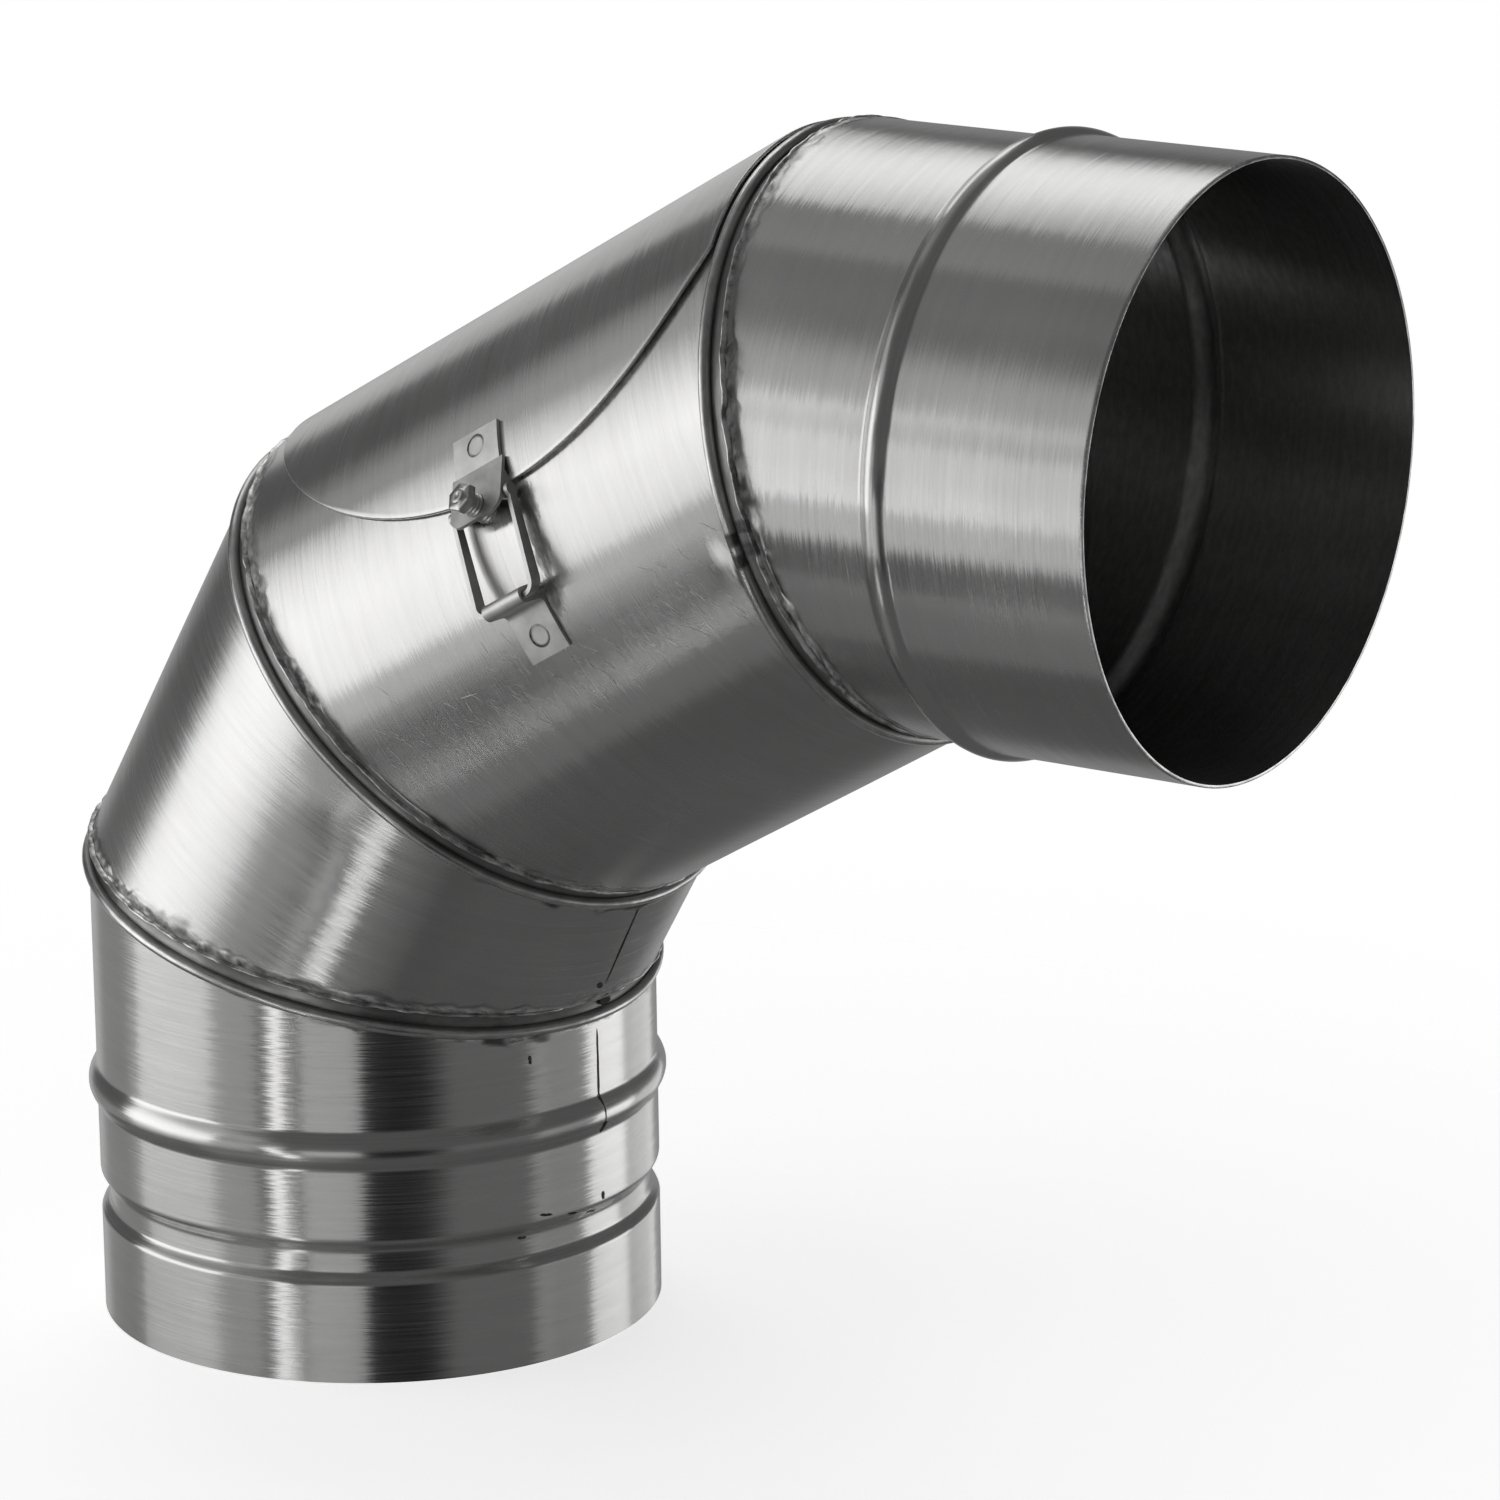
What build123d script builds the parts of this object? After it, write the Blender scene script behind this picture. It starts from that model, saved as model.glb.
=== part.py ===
from build123d import *
import os
from math import cos, sin, radians, tan

# An adjustable flue elbow: four stainless tubes joined by three swivel seams, with an
# inspection cover held on the long tube by two screw latches. Millimetres, +Z up.
# The origin is the centre of the lower rim, the outlet points along +X.

# Sheet and slip fit
sheet = 0.8
socket_bore_radius = 75.0
slip_clearance = 0.4
tube_radius = socket_bore_radius - slip_clearance
tube_bore_radius = tube_radius - sheet

# Bend and the lengths of the tubes, from axis corner to axis corner
seam_turn = 30.0
spigot_length = 111.5
lower_gore_length = 80.5
inspection_gore_length = 151.0
socket_length = 100.6

# Groove and stop bead of the lower spigot, heights above its rim
groove_start = 27.0
groove_width = 11.5
groove_depth = 2.4
groove_lower_slope = 1.8
groove_upper_slope = 3.6
spigot_bead_height = 62.7
spigot_bead_width = 10.0
spigot_bead_rise = 2.3

# Stop bead of the upper socket, measured back from its rim
socket_depth = 55.0
socket_bead_width = 7.6
socket_bead_rise = 2.2

# Swivel seam: a rolled bead on the lower tube holds a flange of the upper tube
seam_bead_rise = 3.6
seam_bead_half = 1.5
seam_bead_middle = -1.9
seam_running_gap = 0.3
seam_flange_gap = 0.5
seam_ledge = 0.5
collar_bore_rise = 0.4
shoulder_rise = 3.3
shoulder_middle = 3.6

# Inspection cover: an oval of flat sheet rolled round the heel of the long tube
cover_offset = 9.5
cover_half_length = 97.0
cover_half_angle = 69.7
cover_seam_margin = 2.0
cover_sheet = 0.8
gasket_thickness = 0.6
gasket_inset = 1.5
opening_inset = 20.0
rim_step = 15
seat_gap = 0.1

# Screw latch, one on each side of the long tube; angles run from its side towards its heel
latch_offset = -5.8
latch_sheet = 1.0
tab_width = 15.6
tab_top_angle = 33.5
tab_crease_angle = 25.6
tongue_width = 17.8
tongue_length = 15.0
tongue_tilt_angle = 38.0
tongue_corner_radius = 4.0
cheek_start = 3.2
cheek_end = 12.6
cheek_clearance = 0.4
cheek_low_angle = 1.2
stub_angle = 18.4
stub_radius = 1.0
stub_rise = 3.0
stub_lobe_radius = 1.9
stub_play = 0.1
bail_sheet = 1.2
bail_side_gap = 0.3
bail_clearance = 0.4
bail_tuck = 0.5
bail_tilt_angle = 14.0
bail_front_tilt_angle = 16.5
bail_depth = 3.7
bail_corner_radius = 3.2
keeper_side_gap = 2.7
keeper_end_angle = -12.3
hook_room = 0.5
hook_free_end_rise = 3.4
hook_bend_radius = 1.6
weld_radius = 2.9
weld_depth = 0.25
top_weld_angle = 30.4
keeper_weld_angle = -8.0

# Tension screw
screw_place = 11.0
screw_radius = 3.0
screw_fit = 0.05
screw_foot = 4.5
screw_reach = 6.8
screw_boss_radius = 2.1
screw_boss_height = 0.7
screw_head_flats = 7.2
screw_head_height = 2.2
screw_dimple_radius = 0.6
screw_dimple_depth = 0.5
screw_tip_bevel = 0.6
hexagon_sides = 6

# Radii that follow from the tube
seam_bead_radius = tube_radius + seam_bead_rise
collar_bore_radius = tube_radius + collar_bore_rise
shoulder_radius = tube_radius + shoulder_rise
gasket_radius = tube_radius + seat_gap
cover_radius = gasket_radius + gasket_thickness + seat_gap
bracket_radius = cover_radius + cover_sheet + seat_gap
tab_middle_radius = bracket_radius + latch_sheet / 2
stub_centre_radius = tube_radius + stub_rise
keeper_radius = tube_radius + seat_gap
hook_free_end_radius = keeper_radius + hook_free_end_rise
bail_rear_offset = cover_radius + cover_sheet + bail_clearance - bail_tuck
bail_bar_radius = bail_rear_offset / cos(radians(bail_tilt_angle))
bail_front_radius = bail_bar_radius + bail_depth

# Widths and places that follow from the rest
bail_inner_half = tongue_width / 2 + bail_side_gap
bail_outer_half = bail_inner_half + bail_sheet
keeper_width = 2 * (bail_inner_half - keeper_side_gap)
cover_middle = inspection_gore_length / 2 + cover_offset
latch_middle = cover_middle + latch_offset


def lean(angle):
    # Direction that leans from +Z towards +X by the angle
    return Vector(sin(radians(angle)), 0, cos(radians(angle)))


def throatward(angle):
    # Direction square to lean, towards the inside of the bend
    return Vector(cos(radians(angle)), 0, -sin(radians(angle)))


# Corners of the bent centre line
seam_angles = [seam_turn * (number + 0.5) for number in range(3)]
tube_angles = [seam_turn * number for number in range(4)]
corner_1 = lean(tube_angles[0]) * spigot_length
corner_2 = corner_1 + lean(tube_angles[1]) * lower_gore_length
corner_3 = corner_2 + lean(tube_angles[2]) * inspection_gore_length
outlet = corner_3 + lean(tube_angles[3]) * socket_length
corners = [corner_1, corner_2, corner_3]

# Each seam's circle is centred between the two slanted cuts of its tubes
flank_middle = seam_bead_middle - seam_bead_half + sheet / 2
seam_shift = (shoulder_middle - flank_middle) / 2 * tan(radians(seam_turn / 2))
seam_planes = []
for corner, angle in zip(corners, seam_angles):
    centre = corner + throatward(angle) * seam_shift
    seam_planes.append(Plane(origin=centre, x_dir=throatward(angle), z_dir=lean(angle)))

gore_axis = lean(tube_angles[2])
gore_heel = throatward(tube_angles[2]) * -1


def revolve_wall(points_and_arcs):
    # Turns a closed outline in the XZ plane into a ring about Z
    return revolve(Plane.XZ * make_face(points_and_arcs), Axis.Z)


def place_along(solid, origin, angle):
    # Puts a solid made about Z on a tube's axis
    return Plane(origin=origin, x_dir=throatward(angle), z_dir=lean(angle)) * solid


def cut_above(solid, plane, height):
    # Keeps what lies before a seam, up to the height above its plane
    return split(solid, plane.offset(height), keep=Keep.BOTTOM)


def cut_below(solid, plane, height):
    # Keeps what lies past a seam, from the height above its plane
    return split(solid, plane.offset(height), keep=Keep.TOP)


def rolled_bead():
    # C-shaped ring that is rolled over the flange of the next tube
    inner = tube_bore_radius - seam_ledge
    lip = collar_bore_radius + sheet + seam_running_gap
    bend = seam_bead_radius - seam_bead_half
    low = seam_bead_middle - seam_bead_half
    high = seam_bead_middle + seam_bead_half
    outline = Polyline((lip, high - sheet), (lip, high), (bend, high))
    outline += ThreePointArc((bend, high), (seam_bead_radius, seam_bead_middle), (bend, low))
    outline += Polyline((bend, low), (inner, low), (inner, low + sheet), (bend, low + sheet))
    inside = (seam_bead_radius - sheet, seam_bead_middle)
    outline += ThreePointArc((bend, low + sheet), inside, (bend, high - sheet))
    outline += Line((bend, high - sheet), (lip, high - sheet))
    return revolve_wall(outline)


def swivel_collar():
    # Flange, short collar and shoulder at the lower end of a tube
    inner = tube_bore_radius - seam_ledge
    collar = collar_bore_radius + sheet
    flange = seam_bead_radius - sheet - seam_flange_gap
    flange_low = seam_bead_middle - sheet / 2
    flange_high = seam_bead_middle + sheet / 2
    step = shoulder_middle - sheet / 2
    top = shoulder_middle + sheet / 2
    outline = Polyline(
        (collar_bore_radius, flange_low),
        (flange, flange_low),
        (flange, flange_high),
        (collar, flange_high),
        (collar, step),
        (shoulder_radius, step),
        (shoulder_radius, top),
        (inner, top),
        (inner, step),
        (collar_bore_radius, step),
        (collar_bore_radius, flange_low),
    )
    return revolve_wall(outline)


def plain_tube(length):
    wall = Cylinder(tube_radius, length) - Cylinder(tube_bore_radius, length)
    return Pos(0, 0, length / 2) * wall


def spigot_profile(radius):
    # One side of the spigot wall, from the rim up
    groove_end = groove_start + groove_width
    bead_low = spigot_bead_height - spigot_bead_width / 2
    bead_high = spigot_bead_height + spigot_bead_width / 2
    floor = radius - groove_depth
    lower = Polyline(
        (radius, 0),
        (radius, groove_start),
        (floor, groove_start + groove_lower_slope),
        (floor, groove_end - groove_upper_slope),
        (radius, groove_end),
        (radius, bead_low),
    )
    crest = (radius + spigot_bead_rise, spigot_bead_height)
    bead = ThreePointArc((radius, bead_low), crest, (radius, bead_high))
    return lower + bead + Line((radius, bead_high), (radius, spigot_length + tube_radius))


def lower_spigot():
    top = spigot_length + tube_radius
    outline = spigot_profile(tube_radius) + spigot_profile(tube_bore_radius)
    outline += Line((tube_bore_radius, 0), (tube_radius, 0))
    outline += Line((tube_bore_radius, top), (tube_radius, top))
    tube = cut_above(revolve_wall(outline), seam_planes[0], flank_middle)
    return tube + seam_planes[0] * rolled_bead()


def gore(first, length):
    # A tube between two seams, with its collar below and its rolled bead above
    margin = tube_radius
    start = corners[first] - lean(tube_angles[first + 1]) * margin
    tube = place_along(plain_tube(length + 2 * margin), start, tube_angles[first + 1])
    tube = cut_below(tube, seam_planes[first], shoulder_middle)
    tube = cut_above(tube, seam_planes[first + 1], flank_middle)
    tube += seam_planes[first] * swivel_collar()
    return tube + seam_planes[first + 1] * rolled_bead()


def socket_profile(radius, end_radius, length):
    # One side of the socket wall: slip-fit end, stop bead, then the plain tube
    bead_low = socket_depth
    bead_high = socket_depth + socket_bead_width
    crest = (end_radius + socket_bead_rise, socket_depth + socket_bead_width / 2)
    slip_end = Line((end_radius, 0), (end_radius, bead_low))
    bead = ThreePointArc((end_radius, bead_low), crest, (radius, bead_high))
    return slip_end + bead + Line((radius, bead_high), (radius, length))


def upper_socket():
    length = socket_length + tube_radius
    end_radius = socket_bore_radius + sheet
    outline = socket_profile(tube_radius, end_radius, length)
    outline += socket_profile(tube_bore_radius, socket_bore_radius, length)
    outline += Line((socket_bore_radius, 0), (end_radius, 0))
    outline += Line((tube_bore_radius, length), (tube_radius, length))
    tube = place_along(revolve_wall(outline), outlet, tube_angles[3] + 180)
    tube = cut_below(tube, seam_planes[2], shoulder_middle)
    return tube + seam_planes[2] * swivel_collar()


def heel_patch(low_radius, thickness, inset):
    # Sheet round the heel inside the cover's oval, drawn in by the inset
    half_length = cover_half_length - inset
    half_angle = cover_half_angle - inset / radians(1) / tube_radius
    quarters = []
    for first_turn in range(0, 360, 90):
        rim = []
        for turn in range(first_turn, first_turn + 90 + rim_step, rim_step):
            along = cover_middle + half_length * cos(radians(turn))
            round_heel = half_angle * sin(radians(turn))
            rim.append((along, low_radius * sin(radians(round_heel))))
        ends = [(-sin(radians(turn)), cos(radians(turn))) for turn in (first_turn, first_turn + 90)]
        quarters.append(Spline(*rim, tangents=ends))
    oval = make_face(quarters)
    heel_plane = Plane(origin=corner_2, x_dir=gore_axis, z_dir=gore_heel)
    column = extrude(heel_plane * oval, 2 * tube_radius)
    length = inspection_gore_length + 2 * tube_radius
    shell = Cylinder(low_radius + thickness, length) - Cylinder(low_radius, length)
    shell = place_along(Pos(0, 0, inspection_gore_length / 2) * shell, corner_2, tube_angles[2])
    patch = shell & column
    margin = cover_seam_margin + inset
    patch = cut_below(patch, seam_planes[1], shoulder_middle + sheet / 2 + margin)
    return cut_above(patch, seam_planes[2], seam_bead_middle - seam_bead_half - margin)


def inspection_gore():
    opening = heel_patch(tube_bore_radius - sheet, 3 * sheet, opening_inset)
    return gore(1, inspection_gore_length) - opening


def inspection_cover():
    return heel_patch(cover_radius, cover_sheet, 0)


def cover_gasket():
    ring = heel_patch(gasket_radius, gasket_thickness, gasket_inset)
    hole = heel_patch(gasket_radius - seat_gap, gasket_thickness + 2 * seat_gap, opening_inset)
    return ring - hole


# Latch pieces are drawn square to the long tube's axis: x towards the heel, y outwards, z along it
latch_plane = Plane(origin=corner_2 + gore_axis * latch_middle, x_dir=gore_heel, z_dir=gore_axis)


def polar(radius, angle):
    return (radius * sin(radians(angle)), radius * cos(radians(angle)))


def curved_band(low_radius, high_radius, first_angle, last_angle):
    # Strip of sheet that follows the tube, as a section
    middle = (first_angle + last_angle) / 2
    low = [polar(low_radius, angle) for angle in (first_angle, middle, last_angle)]
    high = [polar(high_radius, angle) for angle in (last_angle, middle, first_angle)]
    outline = ThreePointArc(*low) + Line(low[2], high[0])
    outline += ThreePointArc(*high) + Line(high[2], low[0])
    return make_face(outline)


def slab(section, start, end):
    # A section given thickness along the tube
    return extrude(Pos(0, 0, start) * section, end - start)


def across(section, width):
    return slab(section, -width / 2, width / 2)


def on_radius(solid, angle):
    # Turns a solid made about Z, with Z = 0 on the tube's axis, to stand out at the angle
    outwards = Vector(sin(radians(angle)), cos(radians(angle)), 0)
    return Plane(origin=(0, 0, 0), x_dir=(0, 0, 1), z_dir=outwards) * solid


def radial_pin(radius, low, high, angle):
    return on_radius(Pos(0, 0, (low + high) / 2) * Cylinder(radius, high - low), angle)


def stub_disc(radius):
    return Pos(*polar(stub_centre_radius, stub_angle)) * Circle(radius)


# The tongue's own plane: x down the tongue from the crease, y along the tube, z outwards
tongue_out = polar(1, tongue_tilt_angle)
tongue_down = (-tongue_out[1], tongue_out[0], 0)
crease = polar(tab_middle_radius, tab_crease_angle)
tongue_plane = Plane(origin=(*crease, 0), x_dir=tongue_down, z_dir=(*tongue_out, 0))


def anchor_bracket():
    # Welded tab, flat tongue with the screw's hole, and two cheeks that carry the bail
    top = bracket_radius + latch_sheet
    half = tongue_width / 2
    tab = across(curved_band(bracket_radius, top, tab_crease_angle, tab_top_angle), tab_width)
    blank = Pos(tongue_length / 2, 0) * Rectangle(tongue_length, tongue_width)
    blank = fillet(blank.vertices().group_by(Axis.X)[-1], tongue_corner_radius)
    tongue = extrude(Pos(0, 0, -latch_sheet / 2) * blank, latch_sheet)
    knuckle = Cylinder(latch_sheet / 2, tab_width, rotation=(90, 0, 0))
    fold = [tongue_plane.from_local_coords((place, 0, 0)) for place in (cheek_start, cheek_end)]
    cheek = make_face(
        Polyline(
            (fold[0].X, fold[0].Y),
            (fold[1].X, fold[1].Y),
            polar(tube_radius + cheek_clearance, stub_angle - cheek_low_angle),
            polar(tube_radius + cheek_clearance, stub_angle + cheek_low_angle),
            close=True,
        )
    )
    bracket = tab + tongue_plane * (tongue + knuckle)
    bracket += slab(cheek, half - latch_sheet, half)
    bracket += slab(cheek, -half, latch_sheet - half)
    bracket -= across(stub_disc(stub_radius + stub_play), tongue_width)
    bracket -= tongue_plane * (Pos(screw_place, 0, 0) * Cylinder(screw_radius + screw_fit, 2 * latch_sheet))
    return bracket - radial_pin(weld_radius, top - weld_depth, top + weld_depth, top_weld_angle)


def latch_bail():
    # Strap bent to a U; its bar lies in the keeper, its ends have stubs in the cheeks
    reach = stub_centre_radius * sin(radians(stub_angle)) + stub_lobe_radius
    outer = Pos(0, (reach - bail_sheet) / 2) * Rectangle(2 * bail_outer_half, reach + bail_sheet)
    outer = fillet(outer.vertices().group_by(Axis.Y)[0], bail_corner_radius)
    inner = Pos(0, reach / 2) * Rectangle(2 * bail_inner_half, reach)
    inner = fillet(inner.vertices().group_by(Axis.Y)[0], bail_corner_radius - bail_sheet)
    strap_plane = Plane(origin=(0, 0, 0), x_dir=(0, 0, 1), z_dir=(0, 1, 0))
    strap = extrude(strap_plane * (outer - inner), 2 * tube_radius)
    slope = tan(radians(bail_tilt_angle))
    front_slope = tan(radians(bail_front_tilt_angle))
    stub_x, stub_y = polar(stub_centre_radius, stub_angle)
    side = Polyline(
        (-bail_sheet, bail_bar_radius + bail_sheet * slope),
        (stub_x, bail_bar_radius - stub_x * slope),
        (stub_x, bail_front_radius - stub_x * front_slope),
        (-bail_sheet, bail_front_radius + bail_sheet * front_slope),
        close=True,
    )
    side_face = make_face(side) + stub_disc(stub_lobe_radius)
    bail = strap & across(side_face, 2 * bail_outer_half)
    stub_start = tongue_width / 2 - latch_sheet
    stub_end = bail_inner_half + bail_sheet / 2
    bail += slab(stub_disc(stub_radius), stub_start, stub_end)
    return bail + slab(stub_disc(stub_radius), -stub_end, -stub_start)


def keeper_hook():
    # Strip welded to the tube and rolled over the bail's bar
    top = keeper_radius + latch_sheet
    middle = -bail_sheet / 2
    slot = bail_sheet / 2 + hook_room
    back = slot + latch_sheet
    roll = bail_front_radius - hook_room
    outline = Polyline(
        (middle - slot, keeper_radius),
        (middle - back, keeper_radius),
        (middle - back, roll),
    )
    outline += ThreePointArc((middle - back, roll), (middle, roll + back), (middle + back, roll))
    free_end = [(middle + back, hook_free_end_radius), (middle + slot, hook_free_end_radius)]
    outline += Polyline((middle + back, roll), *free_end, (middle + slot, roll))
    outline += ThreePointArc((middle + slot, roll), (middle, roll + slot), (middle - slot, roll))
    outline += Line((middle - slot, roll), (middle - slot, keeper_radius))
    wall_angle = (middle - slot) / radians(1) / top
    section = make_face(outline) + curved_band(keeper_radius, top, keeper_end_angle, wall_angle)
    bend = section.vertices().sort_by_distance((middle - back, top, 0))[0]
    section = fillet(bend, hook_bend_radius)
    keeper = across(section, keeper_width)
    return keeper - radial_pin(weld_radius, top - weld_depth, top + weld_depth, keeper_weld_angle)


def tension_screw():
    # Threaded shank through the tongue, small hexagon head and a dimpled boss
    face = screw_reach - screw_boss_height
    outline = Polyline(
        (0, -screw_foot),
        (screw_radius - screw_tip_bevel, -screw_foot),
        (screw_radius, screw_tip_bevel - screw_foot),
        (screw_radius, face - screw_head_height / 2),
        (screw_boss_radius, face - screw_head_height / 2),
        (screw_boss_radius, screw_reach),
        (screw_dimple_radius, screw_reach),
        (0, screw_reach - screw_dimple_depth),
        close=True,
    )
    corner_radius = screw_head_flats / 2 / cos(radians(180 / hexagon_sides))
    hexagon = RegularPolygon(corner_radius, hexagon_sides)
    head = Pos(0, 0, face - screw_head_height) * extrude(hexagon, screw_head_height)
    return tongue_plane * (Pos(screw_place, 0, 0) * (revolve_wall(outline) + head))


pieces = {
    "lower_spigot": lower_spigot(),
    "lower_gore": gore(0, lower_gore_length),
    "inspection_gore": inspection_gore(),
    "upper_socket": upper_socket(),
    "inspection_cover": inspection_cover(),
    "cover_gasket": cover_gasket(),
}
latch_pieces = {
    "anchor_bracket": anchor_bracket(),
    "latch_bail": latch_bail(),
    "keeper_hook": keeper_hook(),
    "tension_screw": tension_screw(),
}
for name, piece in latch_pieces.items():
    near = latch_plane * piece
    pieces["near_" + name] = near
    pieces["far_" + name] = mirror(near, Plane.XZ)

os.makedirs("parts", exist_ok=True)
for name, piece in pieces.items():
    piece.label = name
    export_step(piece, "parts/" + name + ".step")
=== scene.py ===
import math
import bmesh
import bpy
import numpy as np
from mathutils import Matrix, Vector


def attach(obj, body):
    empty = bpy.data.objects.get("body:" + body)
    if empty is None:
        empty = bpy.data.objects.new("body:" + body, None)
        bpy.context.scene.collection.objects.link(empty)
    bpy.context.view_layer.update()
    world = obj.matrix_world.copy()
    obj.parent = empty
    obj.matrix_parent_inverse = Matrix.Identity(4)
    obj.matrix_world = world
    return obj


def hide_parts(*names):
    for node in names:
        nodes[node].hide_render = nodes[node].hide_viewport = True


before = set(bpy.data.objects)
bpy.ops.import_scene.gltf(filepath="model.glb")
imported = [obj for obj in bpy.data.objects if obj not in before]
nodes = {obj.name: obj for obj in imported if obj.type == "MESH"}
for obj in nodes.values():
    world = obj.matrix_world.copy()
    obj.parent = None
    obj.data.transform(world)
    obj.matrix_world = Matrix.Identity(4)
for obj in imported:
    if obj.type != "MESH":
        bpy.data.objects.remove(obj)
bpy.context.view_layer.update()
scene = bpy.context.scene
print("frame loaded:", len(nodes), "nodes")

mm = 0.001
fullTurn = 2 * math.pi

# the row of four tubes, in millimetres and degrees, as in the solids
elbow = {
    "sheet": 0.8, "tubeRadius": 74.6, "turn": 30.0, "lengths": (111.5, 80.5, 151.0, 100.6),
    "around": 720,  # faces round each tube
    # painted shade: the inside walls are painted darker by this amount
    "insidePaintedShade": 0.5,
    "wideDent": 0.10, "wideLength": 46.0, "wideCount": 9,  # slight unevenness of rolled sheet
    "fineDent": 0.03, "fineLength": 15.0, "fineCount": 31,
}
# swivel seams: a bead of the lower tube rolled round a collar of the upper one, heights from the seam's plane
seamShape = {
    "beadRadius": 78.2, "beadHalf": 1.5, "beadMiddle": -1.9, "lipRadius": 76.1, "lipDepth": 1.6,
    "flank": ((73.4, 0.0), (74.8, 0.0), (75.6, 0.02)),  # radius and drop where the wall turns out
    "collarRadius": 75.8, "shoulderRadius": 77.9,
    "shoulderLow": 3.2, "shoulderMiddle": 3.6, "shoulderTop": 4.0,
    "beadWrap": 400.0, "collarWrap": 500.0, "wrapStep": 30.0,  # where beads and collars lie in the paint
    "spots": {2: ((-80.6, 1.5), (-76.4, 1.6))}, "spotShift": -1.8,  # black spots: angle and half width
}
seamSeeds = {"bead": (31, 90, 100), "collar": (70, 80, 91), "foot": (50, 60, 71), "end": (131, 150, 160)}


def leanDir(degrees):
    angle = math.radians(degrees)
    return np.array([math.sin(angle), 0.0, math.cos(angle)])


def throatDir(degrees):
    angle = math.radians(degrees)
    return np.array([math.cos(angle), 0.0, -math.sin(angle)])


sideDir = np.array([0.0, 1.0, 0.0])
tubeLean = [elbow["turn"] * number for number in range(4)]
corners = [np.zeros(3)]
for lean, length in zip(tubeLean, elbow["lengths"]):
    corners.append(corners[-1] + leanDir(lean) * length)
bore = elbow["tubeRadius"] - elbow["sheet"]
flankHeight = seamShape["beadMiddle"] - seamShape["beadHalf"] + elbow["sheet"] / 2
seamShift = (seamShape["shoulderMiddle"] - flankHeight) / 2 * math.tan(math.radians(elbow["turn"] / 2))
seams = []
for number in range(3):
    seamLean = elbow["turn"] * (number + 0.5)
    seams.append({"axis": leanDir(seamLean), "throat": throatDir(seamLean),
                  "centre": corners[number + 1] + throatDir(seamLean) * seamShift})

turns = np.linspace(0, 1, elbow["around"] + 1)
theta = math.pi / 2 + fullTurn * turns  # from the far side round, 0 at the throat


def smooth(value, low, high):
    share = np.clip((value - low) / (high - low), 0, 1)
    return share * share * (3 - 2 * share)


def blotch(turn, along, cells, seed):
    # smooth random values from 0 to 1, closed round the tube
    rows = 97
    table = np.random.default_rng(seed).random((rows, cells))
    turn, along = np.broadcast_arrays(np.asarray(turn, float) * cells, np.asarray(along, float))
    col, row = np.floor(turn).astype(int), np.floor(along).astype(int)
    fx, fy = smooth(turn - col, 0, 1), smooth(along - row, 0, 1)
    low = table[row % rows, col % cells] * (1 - fx) + table[row % rows, (col + 1) % cells] * fx
    high = table[(row + 1) % rows, col % cells] * (1 - fx) + table[(row + 1) % rows, (col + 1) % cells] * fx
    return low * (1 - fy) + high * fy


def roundSeam(cells, seed):
    # the same, as one ring of values
    return blotch(turns, 0.5, cells, seed)


def besideAngle(middle):
    # degrees round the tube from an angle, the short way
    return np.mod(np.degrees(theta) - middle + 180, 360) - 180


def allRound(column):
    # one value a row, repeated round the tube
    return np.repeat(np.asarray(column, float)[:, None], len(theta), 1)


def newSkin():
    return {"points": [], "faces": [], "uv": [], "weld": [], "sootAndShade": [], "count": 0}


def addGrid(skin, points, uv, weld=0.0, sootAndShade=0.0, flip=False):
    rows, cols = points.shape[:2]
    index = skin["count"] + np.arange(rows * cols).reshape(rows, cols)
    quads = [index[:-1, :-1], index[:-1, 1:], index[1:, 1:], index[1:, :-1]]
    if flip:
        quads = quads[::-1]
    skin["faces"].append(np.stack(quads, -1).reshape(-1, 4))
    skin["points"].append(points.reshape(-1, 3))
    skin["uv"].append(uv.reshape(-1, 2))
    skin["weld"].append(np.broadcast_to(weld, (rows, cols)).reshape(-1))
    skin["sootAndShade"].append(np.broadcast_to(sootAndShade, (rows, cols)).reshape(-1))
    skin["count"] += rows * cols


def closeGrids(mesh):
    # joins the grids where their edges and middles meet
    meetWithin = 5e-7
    welded = bmesh.new()
    welded.from_mesh(mesh)
    bmesh.ops.remove_doubles(welded, verts=welded.verts, dist=meetWithin)
    welded.to_mesh(mesh)
    welded.free()
    mesh.validate()


def makeSkin(name, skin, material):
    points = np.concatenate(skin["points"]) * mm
    faces = np.concatenate(skin["faces"]).astype(np.int32)
    mesh = bpy.data.meshes.new(name)
    mesh.vertices.add(len(points))
    mesh.vertices.foreach_set("co", points.astype(np.float32).ravel())
    mesh.loops.add(faces.size)
    mesh.loops.foreach_set("vertex_index", faces.ravel())
    mesh.polygons.add(len(faces))
    mesh.polygons.foreach_set("loop_start", np.arange(0, faces.size, 4, dtype=np.int32))
    mesh.polygons.foreach_set("use_smooth", np.ones(len(faces), bool))
    mesh.update(calc_edges=True)
    layer = mesh.uv_layers.new(name="wrap")
    layer.data.foreach_set("uv", np.concatenate(skin["uv"])[faces.ravel()].astype(np.float32).ravel())
    for paint in ("weld", "sootAndShade"):
        mesh.attributes.new(paint, "FLOAT", "POINT").data.foreach_set(
            "value", np.concatenate(skin[paint]).astype(np.float32))
    closeGrids(mesh)
    mesh.materials.append(material)
    piece = bpy.data.objects.new(name, mesh)
    scene.collection.objects.link(piece)
    return piece


def onTube(tube, turnAngle, along, radius):
    lean, throat = leanDir(tubeLean[tube]), throatDir(tubeLean[tube])
    turnAngle, along, radius = np.broadcast_arrays(turnAngle, along, radius)
    return (corners[tube] + np.cos(turnAngle)[..., None] * radius[..., None] * throat
            + np.sin(turnAngle)[..., None] * radius[..., None] * sideDir + along[..., None] * lean)


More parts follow.
